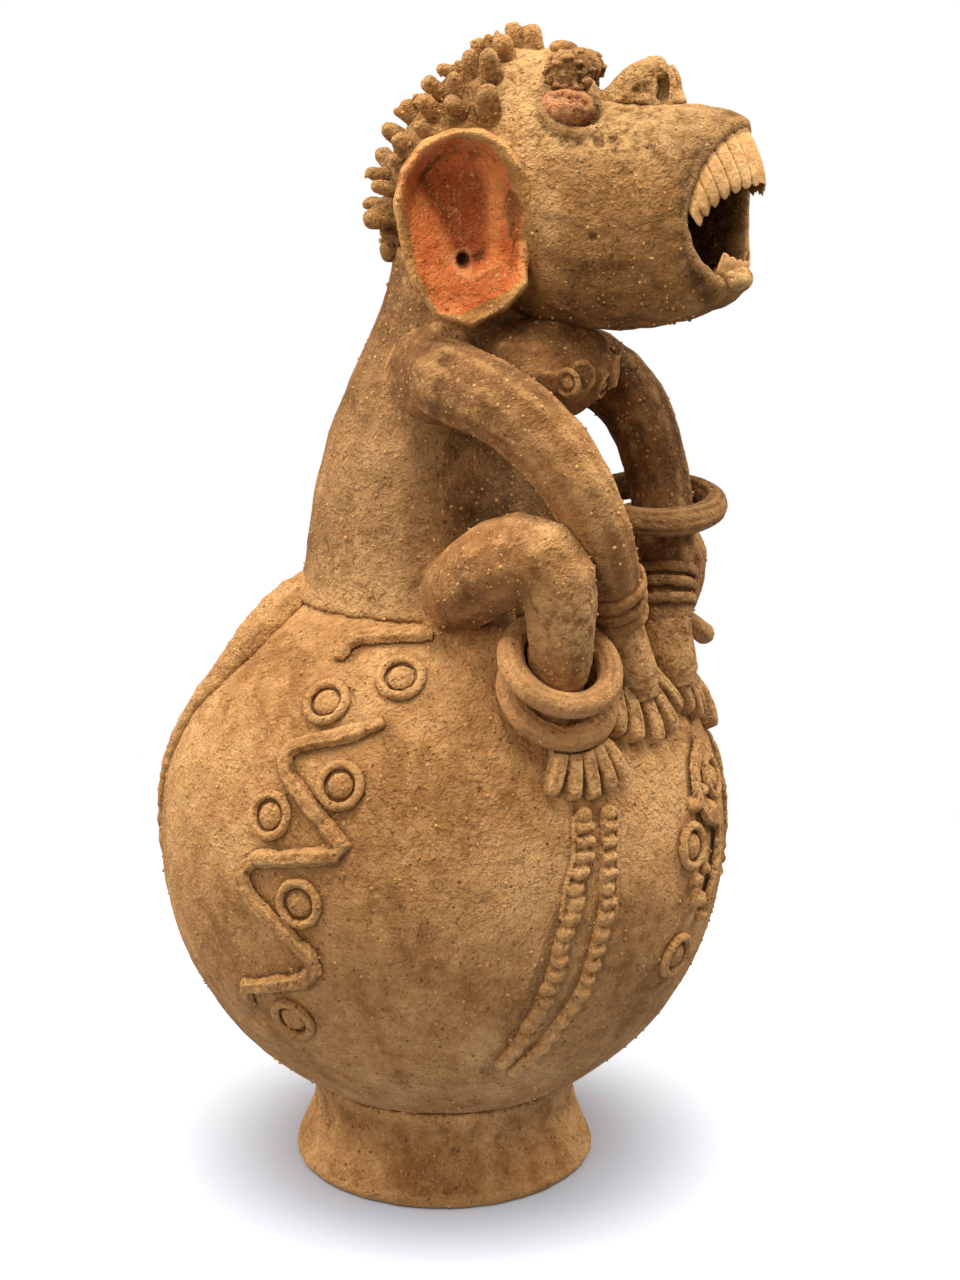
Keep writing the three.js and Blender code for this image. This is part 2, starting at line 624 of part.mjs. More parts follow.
function earDish(side) {
  const swing = THREE.MathUtils.degToRad(EAR.swing);
  const centre = new THREE.Vector3(side * EAR.x, EAR.y, EAR.z);
  const back = new THREE.Vector3(side * Math.sin(swing), Math.cos(swing), 0);
  const out = new THREE.Vector3(side * Math.cos(swing), -Math.sin(swing), 0);
  const outline = new THREE.CatmullRomCurve3(
    EAR_OUTLINE.map(([u, v]) => new THREE.Vector3(u, v, 0)), true).getPoints(16).slice(0, -1);
  const at = (scale, depth) => outline.map((point) => centre.clone()
    .addScaledVector(back, point.x * scale * EAR.scale)
    .addScaledVector(UP, point.y * scale * EAR.scale)
    .addScaledVector(out, depth));
  const start = centre.clone().addScaledVector(out, -16);
  const end = centre.clone().addScaledVector(out, EAR_FLOOR);
  const dish = loft(EAR_RINGS.map(([scale, depth]) => at(scale, depth)), { start, end });
  return onHead(dish);
}

// Face pieces luted onto the head
function eye(side) {
  const pellet = lump(
    { x: side * 18, y: -51, z: 388.5 }, { across: 10, deep: 8.5, tall: 6.6 }, { sides: 10, rows: 6 });
  return turnHead(cut(pellet, cut(headSolid(GAP), socket(side, -GAP))));
}

function brow(side) {
  const ridge = [
    { x: side * 28, y: -43, z: 397.5, radius: 4.5 },
    { x: side * 21, y: -47.5, z: 401.5, radius: 6 },
    { x: side * 13, y: -50, z: 403.5, radius: 6.3 },
    { x: side * 6.8, y: -51.5, z: 402, radius: 6.3 },
  ];
  return onHead(coil(ridge, { sides: 7, steps: 5, roundEnd: false }));
}

function nose() {
  const ridge = [
    { x: 0, y: -62, z: 386, radius: 5 },
    { x: 0, y: -68, z: 394.5, radius: 6 },
    { x: 0, y: -75.5, z: 399, radius: 6 },
    { x: 0, y: -79.5, z: 397, radius: 6.2 },
    { x: 0, y: -79.5, z: 388, radius: 6.4 },
  ];
  return onHead(coil(ridge, { sides: 8, steps: 7 }));
}

// The hollow of the head as a solid, run out past the lips
function mouthHollow(shrink) {
  const rings = HOLLOW.slice(0, 4).reverse().map(([place, wall]) => headRing(place, wall + shrink));
  const beyond = rings.at(-1).map((point) => point.clone().setY(point.y - 15));
  return loft([...rings, beyond]);
}

// A row of teeth along the inside of the lip: broad pegs with grooves between them
function teeth({ count, from, to, thick }, reach) {
  const stations = [];
  for (let i = 0; i < count; i += 1) {
    stations.push({ at: i / count, swell: 0.55, length: 0.72 });
    stations.push({ at: (i + 0.3) / count, swell: 1, length: 1 });
    stations.push({ at: (i + 0.7) / count, swell: 1, length: 1 });
  }
  stations.push({ at: 1, swell: 0.55, length: 0.72 });
  return turnHead(loft(stations.map(({ at, swell, length }) => {
    const angle = THREE.MathUtils.degToRad(THREE.MathUtils.lerp(from, to, at));
    const root = headPoint(HEAD.length - 1.15, angle, LIP_WALL + 1 + thick);
    const tip = root.clone().lerp(reach(root, at), length);
    const out = new THREE.Vector3(Math.cos(angle), 0, Math.sin(angle)).multiplyScalar((thick / 2) * swell);
    const [back, front] = [out.clone().negate(), out];
    return [
      root.clone().add(back), tip.clone().addScaledVector(back, 0.6),
      tip.clone().addScaledVector(front, 0.6), root.clone().add(front),
    ];
  })));
}

function upperTeeth() {
  return teeth(UPPER_TEETH, (root, at) => {
    const rise = Math.sin(Math.PI * THREE.MathUtils.lerp(0.09, 0.91, at));
    return new THREE.Vector3(root.x * 0.88, root.y - 6 * rise, 349 + 16 * rise);
  });
}

function lowerTeeth() {
  return teeth(LOWER_TEETH, (root) => new THREE.Vector3(root.x * 0.96, root.y - 2.5, root.z + 9));
}

function tongue() {
  const shape = lump({ x: 0, y: -90, z: 330 }, { across: 12.5, deep: 15, tall: 8 }, { sides: 12, rows: 6 });
  return turnHead(surface(solid(shape).intersect(solid(mouthHollow(GAP)))));
}

// The pouch under the throat carries two small roundels
function throatPouch() {
  const size = { across: 28, deep: 26, tall: 19 };
  const pouch = lump(POUCH, size, { sides: 12, rows: 6 });
  const roundels = [-1, 1].map((side) => {
    const way = new THREE.Vector3(side * 0.42, -0.9, -0.05).normalize();
    const skin = 1 / Math.hypot(way.x / size.across, way.y / size.deep, way.z / size.tall);
    const disc = roundel(1000, 8).translate(0, 0, -1000 - GAP);
    disc.scale(0.75, 0.75, 1.2);
    disc.applyQuaternion(new THREE.Quaternion().setFromUnitVectors(UP, way));
    return disc.translate(
      POUCH.x + way.x * (skin - 1.5), POUCH.y + way.y * (skin - 1.5), POUCH.z + way.z * (skin - 1.5));
  });
  return cut(join(pouch, ...roundels), torsoSolid(GAP), turnHead(headSolid(GAP)),
    limb(ARM_RIGHT, GAP), limb(ARM_LEFT, GAP));
}

// Limbs
function limb(stations, grow) {
  return coil(stations, { sides: 10, steps: 11, grow, roundStart: false, roundEnd: false });
}

function arm(stations, legStations) {
  return cut(limb(stations, 0), torsoSolid(GAP), limb(legStations, GAP));
}

function leg(stations) {
  return cut(limb(stations, 0), torsoSolid(GAP), globeBall(GAP));
}

function bracelet(stations, place) {
  const here = sample(stations, place);
  const [behind, ahead] = [-0.2, 0.2].map((step) => sample(stations, place + step));
  const way = new THREE.Vector3(ahead.x - behind.x, ahead.y - behind.y, ahead.z - behind.z).normalize();
  const hole = here.radius + GAP + 0.6;
  const { wide, high } = BRACELET;
  const profile = [
    [hole, -wide / 2], [hole + high, -wide * 0.25], [hole + high, wide * 0.25],
    [hole, wide / 2], [hole, -wide / 2],
  ];
  const points = profile.map(([radius, z]) => new THREE.Vector2(radius, z));
  const ring = tidy(new THREE.LatheGeometry(points, 12).rotateX(Math.PI / 2));
  ring.applyQuaternion(new THREE.Quaternion().setFromUnitVectors(UP, way));
  return ring.translate(here.x, here.y, here.z);
}

function hand(palm, fingers, armStations, ...neighbours) {
  const pad = coil(palm, { sides: 8, steps: 3, roundStart: false });
  const whole = join(cut(pad, globeBall(GAP)), ...fingers.map((ends) => finger(ends, FINGER)));
  return cut(whole, limb(armStations, GAP), ...neighbours);
}

function foot(ankle, legStations, side, ...rings) {
  const stump = cut(coil(ankle, { sides: 8, steps: 3, roundStart: false, roundEnd: false }), globeBall(GAP));
  const toes = TOES.map((points) => toe(points, TOE, side));
  return cut(join(stump, ...toes), limb(legStations, GAP), ...rings.map((ring) => hoop(ring)));
}

// The room that a loose ring takes up as it turns
function hoop({ x, y, z, tilt, radius, coil: thick }) {
  const torus = tidy(new THREE.TorusGeometry(radius, thick + GAP + TURN_ROOM, ...RING_FACETS));
  torus.applyQuaternion(new THREE.Quaternion().setFromUnitVectors(UP, new THREE.Vector3(...tilt).normalize()));
  return torus.translate(x, y, z);
}

// Assembly
const vessel = new THREE.Group();
vessel.name = 'monkey_effigy_vessel';

function add(name, geometry, material) {
  const mesh = new THREE.Mesh(geometry, material);
  mesh.name = name;
  vessel.add(mesh);
  return mesh;
}

function looseRing(name, { x, y, z, tilt, radius, coil: thick }) {
  const mesh = add(name, tidy(new THREE.TorusGeometry(radius, thick, ...RING_FACETS)), DARK_CLAY);
  mesh.position.set(x, y, z);
  mesh.quaternion.setFromUnitVectors(UP, new THREE.Vector3(...tilt).normalize());
}

function onGlobe(name, azimuth, polar) {
  const mesh = add(name, roundel(), CLAY);
  mesh.position.copy(GLOBE_CENTRE);
  mesh.quaternion.setFromUnitVectors(UP, heading(azimuth, polar));
}

add('foot_ring', footRing(), CLAY);
add('globe', globeShell(), CLAY);
add('torso', torsoShell(), CLAY);
add('head', headShell(), CLAY);
add('throat_pouch', throatPouch(), CLAY);
add('nose', nose(), CLAY);
add('upper_teeth', upperTeeth(), TEETH);
add('lower_teeth', lowerTeeth(), TEETH);
add('tongue', tongue(), DARK_CLAY);
add('arm_right', arm(ARM_RIGHT, LEG_RIGHT), CLAY);
add('arm_left', arm(ARM_LEFT, LEG_LEFT), CLAY);
add('hand_right', hand(
  PALM_RIGHT, FINGERS_RIGHT, ARM_RIGHT, hoop(RINGS.ankle_ring_right_lower)), CLAY);
add('hand_left', hand(PALM_LEFT, FINGERS_LEFT, ARM_LEFT), CLAY);
add('leg_right', leg(LEG_RIGHT), CLAY);
add('leg_left', leg(LEG_LEFT), CLAY);
add('foot_right', foot(
  ANKLE_RIGHT, LEG_RIGHT, -1, RINGS.ankle_ring_right_lower, RINGS.ankle_ring_right_upper), CLAY);
add('foot_left', foot(
  ANKLE_LEFT, LEG_LEFT, 1, RINGS.ankle_ring_left_lower, RINGS.ankle_ring_left_upper), CLAY);
for (const [name, side, arms, bands] of [
  ['right', -1, ARM_RIGHT, BRACELETS_RIGHT], ['left', 1, ARM_LEFT, BRACELETS_LEFT],
]) {
  add(`ear_${name}`, earDish(side), RED_CLAY);
  add(`eye_${name}`, eye(side), RED_CLAY);
  add(`brow_${name}`, brow(side), DARK_CLAY);
  bands.forEach((place, i) => add(`bracelet_${name}_${i + 1}`, bracelet(arms, place), CLAY));
  add(`scroll_${name}`, ribbon(SCROLL, 9, side), CLAY);
  add(`zigzag_${name}`, ribbon(ZIGZAG, 25, side), CLAY);
  BEAD_ROWS.forEach((row, i) => add(`bead_row_${name}_${i + 1}`, beadRow(row, side), CLAY));
  ROUNDELS.forEach(([azimuth, polar], i) => onGlobe(`roundel_${name}_${i + 1}`, onSide(azimuth, side), polar));
}
for (const [name, ring] of Object.entries(RINGS)) looseRing(name, ring);
FRONT_ROUNDELS.forEach(([azimuth, polar], i) => onGlobe(`roundel_front_${i + 1}`, azimuth, polar));
add('scroll_front', ribbon(FRONT_SCROLL, 18, 0), CLAY);
add('tail', cut(band(along(TAIL, 18), [...ROUND_SECTION, [0, 0]]), torsoSolid(GAP)), CLAY);

// The origin is the middle of the bounding box's base
const box = new THREE.Box3().setFromObject(vessel);
const centre = box.getCenter(new THREE.Vector3());
vessel.position.set(-centre.x, -centre.y, -box.min.z);

export default vessel;
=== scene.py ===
# The looks of a monkey effigy vessel in coarse terracotta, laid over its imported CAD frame.
# Every piece is a skin of hand-worked clay over the CAD node that it stands for.

import json
import math
import random

import bpy
import numpy
from mathutils import Matrix, Vector
from mathutils.bvhtree import BVHTree

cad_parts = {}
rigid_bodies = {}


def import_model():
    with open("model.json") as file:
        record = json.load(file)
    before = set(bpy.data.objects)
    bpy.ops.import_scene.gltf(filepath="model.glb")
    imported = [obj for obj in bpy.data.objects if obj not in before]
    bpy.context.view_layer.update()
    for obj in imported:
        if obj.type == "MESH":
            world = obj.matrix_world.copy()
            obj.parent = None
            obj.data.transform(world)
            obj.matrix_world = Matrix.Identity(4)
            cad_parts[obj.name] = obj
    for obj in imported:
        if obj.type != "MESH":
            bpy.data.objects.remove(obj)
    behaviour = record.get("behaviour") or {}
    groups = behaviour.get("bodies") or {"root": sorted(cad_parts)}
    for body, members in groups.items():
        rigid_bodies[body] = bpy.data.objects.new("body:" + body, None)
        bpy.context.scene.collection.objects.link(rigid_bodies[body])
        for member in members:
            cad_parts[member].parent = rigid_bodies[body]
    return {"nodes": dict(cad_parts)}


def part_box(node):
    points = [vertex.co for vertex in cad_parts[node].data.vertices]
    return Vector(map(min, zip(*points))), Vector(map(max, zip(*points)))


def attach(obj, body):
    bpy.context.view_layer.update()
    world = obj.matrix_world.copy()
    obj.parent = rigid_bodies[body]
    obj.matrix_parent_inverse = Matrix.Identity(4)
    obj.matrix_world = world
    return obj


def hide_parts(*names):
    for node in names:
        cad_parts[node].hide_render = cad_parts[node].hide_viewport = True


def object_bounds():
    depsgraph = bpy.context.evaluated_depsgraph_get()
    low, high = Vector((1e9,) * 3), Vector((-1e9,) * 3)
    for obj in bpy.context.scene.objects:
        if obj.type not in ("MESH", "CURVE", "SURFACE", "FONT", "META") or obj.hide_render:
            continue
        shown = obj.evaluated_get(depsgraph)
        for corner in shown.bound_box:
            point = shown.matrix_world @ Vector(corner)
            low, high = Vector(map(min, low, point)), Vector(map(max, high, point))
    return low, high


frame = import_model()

NODES = frame["nodes"]
LOW, HIGH = [Vector(corner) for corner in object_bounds()]

MM = 0.001
low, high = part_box("globe")
GLOBE = Vector(((low.x + high.x) / 2, (low.y + high.y) / 2, 126.5 * MM))
GLOBE_RADIUS = 105 * MM
GLOBE_WALL = 7.5 * MM
MIDDLE_PLANE = 7  # azimuth in degrees of the plane that mirrors the ornament
HEAD_TURN = math.radians(16)
NECK = Vector((GLOBE.x, GLOBE.y - 17 * MM, 0))
PHOTO = (960, 1280)
FOCAL = 2250  # the photograph's focal length in its pixels

# The head's sections from the nape to the lips: y, top, bottom, half width, narrowing above, set-back
HEAD = [
    (14, 370, 344, 13, 0, 0), (5, 388, 332, 24, 0, 0), (-8, 401.5, 324, 34, 0, 0),
    (-28, 410, 319, 39.5, 0.05, 0), (-44, 409, 316.5, 39, 0.14, 0), (-54, 402, 315, 38, 0.2, 0),
    (-61, 392, 314.5, 37, 0.1, 0), (-76, 391.5, 315, 35.5, 0, 1), (-91, 391, 318, 33, 0, 5),
    (-103, 389, 323, 30.5, 0, 10.5), (-111, 386, 328, 28, 0, 14),
]
LEFT_CHEEK = 0.32  # share of the set-back on the left
LIP_CURVE = (1.4, 4, 0.25)  # powers of the set-back and of the sag, and the sag's share of the set-back


# The camera, at the photograph's view

def place_camera():
    azimuth, pitch = math.radians(-55.5), math.radians(12.81)
    toward = Vector((math.sin(azimuth), -math.cos(azimuth), 0))
    right = Vector((0, 0, 1)).cross(toward)
    spot = Vector((GLOBE.x, GLOBE.y, 0.3826)) + toward * 0.80662 + right * 0.01368
    ahead = -toward * math.cos(pitch) - Vector((0, 0, 1)) * math.sin(pitch)
    above = right.cross(ahead)
    data = bpy.data.cameras.new("photo_camera")
    data.lens = FOCAL / PHOTO[1] * 36
    data.sensor_width = 36
    data.clip_start = 0.02
    data.clip_end = 20
    camera = bpy.data.objects.new("photo_camera", data)
    bpy.context.scene.collection.objects.link(camera)
    camera.matrix_world = Matrix.Translation(spot) @ Matrix((right, above, -ahead)).transposed().to_4x4()
    bpy.context.scene.camera = camera
    return spot, right, above, ahead


EYE_POINT, RIGHT, ABOVE, AHEAD = place_camera()


def ray(px, py):
    """The direction in which the camera sees a pixel of the photograph."""
    return (AHEAD * FOCAL + RIGHT * (px - PHOTO[0] / 2) - ABOVE * (py - PHOTO[1] / 2)).normalized()


def pixel_of(point):
    """The pixel of the photograph that shows a point."""
    away = point - EYE_POINT
    deep = away.dot(AHEAD)
    return PHOTO[0] / 2 + FOCAL * away.dot(RIGHT) / deep, PHOTO[1] / 2 - FOCAL * away.dot(ABOVE) / deep


def at_depth_of(point, px, py):
    """The place that a pixel shows when it is as far off as a point."""
    sight = ray(px, py)
    return EYE_POINT + sight * ((point - EYE_POINT).dot(AHEAD) / sight.dot(AHEAD))


# The frames of the head and the globe

def head_frame(point):
    """A point in the frame of the head before it was turned, in millimetres."""
    turned = Matrix.Rotation(-HEAD_TURN, 3, "Z") @ (point - NECK)
    return Vector((turned.x / MM, turned.y / MM - 17, point.z / MM))


def from_head(x, y, z):
    turned = Matrix.Rotation(HEAD_TURN, 3, "Z") @ Vector((x * MM, (y + 17) * MM, 0))
    return Vector((NECK.x + turned.x, NECK.y + turned.y, z * MM))


def mirrored(point):
    """The same place on the other side of the head."""
    x, y, z = head_frame(point)
    return from_head(-x, y, z)


def head_section(y):
    """Top, bottom, half width, narrowing and set-back of the head at a place along it."""
    for before, after in zip(HEAD, HEAD[1:]):
        if y >= after[0]:
            t = min(1, max(0, (before[0] - y) / (before[0] - after[0])))
            return [a + (b - a) * t for a, b in zip(before[1:], after[1:])]
    return list(HEAD[-1][1:])


def near_lips(angle, inset):
    """A point just inside the lips. The angle runs from the left side over the top."""
    y, top, bottom, half, _, back = HEAD[-1]
    aside = math.cos(angle)
    tall = (top - bottom) / 2
    return Vector((
        (half - inset) * aside,
        y + 1 + back * abs(aside) ** LIP_CURVE[0] * (LEFT_CHEEK if aside > 0 else 1),
        (top + bottom) / 2 + (tall - inset) * math.sin(angle) - back * LIP_CURVE[2] * aside ** LIP_CURVE[1]))


def heading(azimuth, polar):
    a, p = math.radians(azimuth), math.radians(polar)
    return Vector((math.sin(a) * math.sin(p), -math.cos(a) * math.sin(p), math.cos(p)))


def on_globe(px, py):
    """Azimuth and polar angle of the spot on the globe that a pixel of the photograph shows."""
    sight = ray(px, py)
    near = (GLOBE - EYE_POINT).dot(sight)
    off = (GLOBE - EYE_POINT - sight * near).length
    way = EYE_POINT + sight * (near - math.sqrt(max(0, GLOBE_RADIUS ** 2 - off ** 2))) - GLOBE
    return math.degrees(math.atan2(way.x, -way.y)), math.degrees(math.acos(way.z / way.length))


def on_side(azimuth, side):
    return 2 * MIDDLE_PLANE - azimuth if side == "left" else azimuth


# Tools for clay skins

def ramp(value, start, stop):
    t = min(1, max(0, (value - start) / (stop - start)))
    return t * t * (3 - 2 * t)


def pick(*objects):
    bpy.ops.object.select_all(action="DESELECT")
    for one in objects:
        one.select_set(True)
    bpy.context.view_layer.objects.active = objects[0]


def finish_modifier(piece, kind, **settings):
    modifier = piece.modifiers.new(kind.lower(), kind)
    for name, value in settings.items():
        setattr(modifier, name, value)
    pick(piece)
    bpy.ops.object.modifier_apply(modifier=modifier.name)


def new_piece(name, mesh):
    piece = bpy.data.objects.new(name, mesh)
    bpy.context.scene.collection.objects.link(piece)
    return piece


def copy_of(node, name):
    """A copy of a CAD node's mesh with its loose triangles merged."""
    piece = new_piece(name, NODES[node].data.copy())
    piece.data.materials.clear()
    pick(piece)
    bpy.ops.object.mode_set(mode="EDIT")
    bpy.ops.mesh.select_all(action="SELECT")
    bpy.ops.mesh.remove_doubles(threshold=0.00001)
    bpy.ops.object.mode_set(mode="OBJECT")
    return piece


def join(name, pieces):
    pick(*pieces)
    bpy.ops.object.join()
    pieces[0].name = name
    return pieces[0]


def remesh(piece, voxel, smooth=0):
    finish_modifier(piece, "REMESH", mode="VOXEL", voxel_size=voxel * MM, adaptivity=0)
    if smooth:
        soften(piece, smooth)


def swell(piece, amount):
    """Moves the skin outwards by an even amount in millimetres."""
    finish_modifier(piece, "DISPLACE", strength=amount * MM, mid_level=0)


LUMPS = {}


def lumps(piece, *layers):
    """Uneven hand-worked clay. Each layer of soft lumps has a size and a height in millimetres."""
    for size, height in layers:
        if size not in LUMPS:
            LUMPS[size] = bpy.data.textures.new(f"lumps_{size}", "CLOUDS")
            LUMPS[size].noise_scale = size * MM
            LUMPS[size].noise_depth = 2
        finish_modifier(piece, "DISPLACE", texture=LUMPS[size], texture_coords="LOCAL",
                        strength=height * MM, mid_level=0.5)


def soften(piece, rounds):
    finish_modifier(piece, "SMOOTH", factor=0.5, iterations=rounds)


def tree_of(*pieces):
    """A search tree over the faces of several meshes."""
    points, faces = [], []
    for piece in pieces:
        start = len(points)
        points += [vertex.co.copy() for vertex in piece.data.vertices]
        faces += [[start + i for i in face.vertices] for face in piece.data.polygons]
    return BVHTree.FromPolygons(points, faces)


TREES = {}


def tree_of_nodes(nodes):
    key = tuple(nodes)
    if key not in TREES:
        TREES[key] = tree_of(*[NODES[node] for node in nodes])
    return TREES[key]


def read(mesh, what="co"):
    """Places or normals of all vertices as rows of numbers."""
    values = numpy.empty(len(mesh.vertices) * 3)
    mesh.vertices.foreach_get(what, values)
    return values.reshape(-1, 3)


def write(mesh, place):
    mesh.vertices.foreach_set("co", place.ravel())
    mesh.update()


def lute(piece, onto, reach=5.0, rise=1.5, sink=0.6):
    """Smears a piece's root out onto the clay that carries it, as a potter's thumb does."""
    tree = tree_of_nodes(onto)
    place, facing = read(piece.data), read(piece.data, "normal")
    for i, spot in enumerate(place):
        near, normal, _, distance = tree.find_nearest(spot, reach * MM)
        if near is None:
            continue
        closeness = 1 - distance / (reach * MM)
        normal = numpy.array(normal)
        outward = facing[i] - normal * (facing[i] @ normal)
        place[i] = spot + outward * rise * MM * closeness ** 2 - normal * sink * MM * closeness ** 3
    write(piece.data, place)


def press(piece, spots, deep):
    """Presses dents into the skin. Each spot holds a place and a radius in millimetres."""
    place, normal = read(piece.data), read(piece.data, "normal")
    push = numpy.zeros(len(place))
    for spot, radius in spots:
        gap = numpy.linalg.norm(place - numpy.array(spot), axis=1) / MM
        inside = numpy.clip((radius - gap) / (radius * 0.6), 0, 1)
        push = numpy.maximum(push, inside * inside * (3 - 2 * inside))
    write(piece.data, place - normal * push[:, None] * deep * MM)


def along(points, count):
    """Evenly counted places along a run of points."""
    spots = []
    for i in range(count):
        place = i / (count - 1) * (len(points) - 1)
        k = min(int(place), len(points) - 2)
        spots.append(points[k].lerp(points[k + 1], place - k))
    return spots


def mark(piece, name, values):
    """Keeps a value at each vertex for the material to read."""
    attribute = piece.data.attributes.get(name) or piece.data.attributes.new(name, "FLOAT", "POINT")
    attribute.data.foreach_set("value", values)


def mark_by(piece, name, value_at):
    mark(piece, name, [value_at(vertex) for vertex in piece.data.vertices])


def mark_spots(piece, name, spots):
    """Keeps soft spots of a value. A spot holds a pixel, a radius in pixels and its strength."""
    def value_at(vertex):
        px, py = pixel_of(vertex.co)
        return max(strong * ramp(radius - math.hypot(px - x, py - y), 0, radius * 0.8)
                   for x, y, radius, strong in spots)
    mark_by(piece, name, value_at)


def mark_relief(piece, rounds=8, depth=0.25, beside=(), reach=1.4):
    """Keeps how deep each vertex lies in a hollow, above 0, or stands on an edge, below 0. Next to the pieces
    beside it a vertex counts as lying in a hollow, so the material paints shade into the creases between
    parts.
    """
    mesh = piece.data
    count = len(mesh.vertices)
    place, normal = read(mesh), read(mesh, "normal")
    ends = numpy.empty(len(mesh.edges) * 2, dtype=int)
    mesh.edges.foreach_get("vertices", ends)
    ends = ends.reshape(-1, 2)
    first = numpy.concatenate((ends[:, 0], ends[:, 1]))
    second = numpy.concatenate((ends[:, 1], ends[:, 0]))
    neighbours = numpy.maximum(1, numpy.bincount(first, minlength=count))
    soft = place
    for _ in range(rounds):
        soft = numpy.stack([numpy.bincount(first, weights=soft[second, k], minlength=count) / neighbours
                            for k in range(3)], axis=1)
    hollow = numpy.clip(((soft - place) * normal).sum(axis=1) / (depth * MM), -1, 1)
    # Painted shade: clay close to a neighbouring piece is marked as a hollow, for the crease between them
    if beside:
        tree = tree_of_nodes(beside)
        for i, vertex in enumerate(mesh.vertices):
            near, _, _, distance = tree.find_nearest(vertex.co, reach * MM)
            if near is not None:
                hollow[i] = max(hollow[i], 0.9 * (1 - distance / (reach * MM)))
    mark(piece, "hollow", hollow)


def settle(piece):
    """Moves an object's place, turn and scale into its mesh."""
    pick(piece)
    bpy.ops.object.transform_apply(location=True, rotation=True, scale=True)


def keep_in_box(piece):
    """The skin stays inside the box of the CAD frame."""
    write(piece.data, numpy.clip(read(piece.data), numpy.array(LOW), numpy.array(HIGH)))


def stand_in(piece, nodes, material, body="vessel", depth=0.25, beside=(), reach=1.4):
    """Finishes a piece: its material, the CAD nodes it stands for and the body it rides on."""
    mark_relief(piece, depth=depth, beside=beside, reach=reach)
    keep_in_box(piece)
    piece.data.materials.clear()
    piece.data.materials.append(material)
    piece.data.polygons.foreach_set("use_smooth", [True] * len(piece.data.polygons))
    piece.data.update()
    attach(piece, body)
    if nodes:
        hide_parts(*nodes)
    return piece


def coil(name, points, radii, sides=5, resolution=6):
    """A rolled coil of clay along points, with a radius in millimetres at each, as a mesh."""
    curve = bpy.data.curves.new(name, "CURVE")
    curve.dimensions = "3D"
    curve.bevel_depth = 1
    curve.bevel_resolution = sides
    curve.resolution_u = resolution
    curve.use_fill_caps = True
    spline = curve.splines.new("NURBS")
    spline.points.add(len(points) - 1)
    spline.order_u = min(3, len(points))
    spline.use_endpoint_u = True
    for knot, point, radius in zip(spline.points, points, radii):
        knot.co = (*point, 1)
        knot.radius = radius * MM
    rolled = new_piece(name, curve)
    pick(rolled)
    bpy.ops.object.convert(target="MESH")
    return rolled


def ball(name, centre, size, axis=Vector((0, 0, 1)), segments=14, rings=8):
    """An egg of clay: half sizes across, deep and along its axis, in millimetres."""
    bpy.ops.object.select_all(action="DESELECT")
    bpy.ops.mesh.primitive_uv_sphere_add(segments=segments, ring_count=rings, radius=1)
    egg = bpy.context.object
    egg.name = name
    turn = Vector((0, 0, 1)).rotation_difference(axis).to_matrix().to_4x4()
    egg.matrix_world = Matrix.Translation(centre) @ turn @ Matrix.Diagonal((*[s * MM for s in size], 1))
    settle(egg)
    return egg


def rounded_block():
    """A cube with soft edges, which digits and teeth are shaped from."""
    bpy.ops.object.select_all(action="DESELECT")
    bpy.ops.mesh.primitive_cube_add(size=2)
    cube = bpy.context.object
    bpy.ops.object.mode_set(mode="EDIT")
    bpy.ops.mesh.select_all(action="SELECT")
    bpy.ops.mesh.subdivide(number_cuts=7)
    bpy.ops.object.mode_set(mode="OBJECT")
    for vertex in cube.data.vertices:
        vertex.co /= sum(abs(c) ** 5 for c in vertex.co) ** 0.2
    mesh = cube.data
    bpy.data.objects.remove(cube)
    return mesh


BLOCK = rounded_block()


def bar(name, stations):
    """A squared roll of clay. A station holds its middle, its sideways and its upward half vectors."""
    piece = new_piece(name, BLOCK.copy())
    last = len(stations) - 1
    for vertex in piece.data.vertices:
        x, y, z = vertex.co
        place = (y + 1) / 2 * last
        k = min(int(place), last - 1)
        middle, side, up = [a.lerp(b, place - k) for a, b in zip(stations[k], stations[k + 1])]
        vertex.co = middle + side * x + up * z
    return piece


def globe_bar(name, line):
    """A squared roll that lies on the globe. Its line holds azimuth, polar, half width and height."""
    ways = [heading(a, p) for a, p, _, _ in line]
    stations = []
    for i, (way, (_, _, half, high)) in enumerate(zip(ways, line)):
        ahead = (ways[min(i + 1, len(ways) - 1)] - ways[max(i - 1, 0)]).normalized()
        side = ahead.cross(way).normalized()
        middle = GLOBE + way * (GLOBE_RADIUS + (high / 2 - 0.6) * MM)
        stations.append((middle, side * half * MM, way * (high / 2 + 0.6) * MM))
    return bar(name, stations)


def globe_coil(name, line, resolution=6):
    """A coil on the globe. Its line holds azimuth, polar angle, radius and height of its middle."""
    points = [GLOBE + heading(a, p) * (GLOBE_RADIUS + h * MM) for a, p, _, h in line]
    return coil(name, points, [r for _, _, r, _ in line], resolution=resolution)


def hoop(name, centre, way, radius, minor, tall=1.0):
    """A ring of clay round an axis. Tall stretches its coil along the axis."""
    bpy.ops.object.select_all(action="DESELECT")
    bpy.ops.mesh.primitive_torus_add(major_segments=40, minor_segments=10, major_radius=radius * MM,
                                     minor_radius=minor * MM)
    ring = bpy.context.object
    ring.name = name
    turn = Vector((0, 0, 1)).rotation_difference(way).to_matrix().to_4x4()
    ring.matrix_world = Matrix.Translation(centre) @ turn @ Matrix.Diagonal((1, 1, tall, 1))
    settle(ring)
    return ring


# Materials

def colour(code):
    """An sRGB hex value as a linear colour."""
    parts = [int(code[i:i + 2], 16) / 255 for i in (1, 3, 5)]
    return (*[c / 12.92 if c <= 0.04045 else ((c + 0.055) / 1.055) ** 2.4 for c in parts], 1)


def add(tree, kind, inputs=None, out=0, **settings):
    """Adds a node with its settings, and gives one of its outputs. Inputs take sockets or values."""
    node = tree.nodes.new("ShaderNode" + kind)
    for name, value in settings.items():
        setattr(node, name, value)
    for name, value in (inputs or {}).items():
        if isinstance(value, bpy.types.NodeSocket):
            tree.links.new(value, node.inputs[name])
        else:
            node.inputs[name].default_value = value
    return node.outputs[out] if node.outputs else None


def new_tree(block):
    block.use_nodes = True
    block.node_tree.nodes.clear()
    return block.node_tree


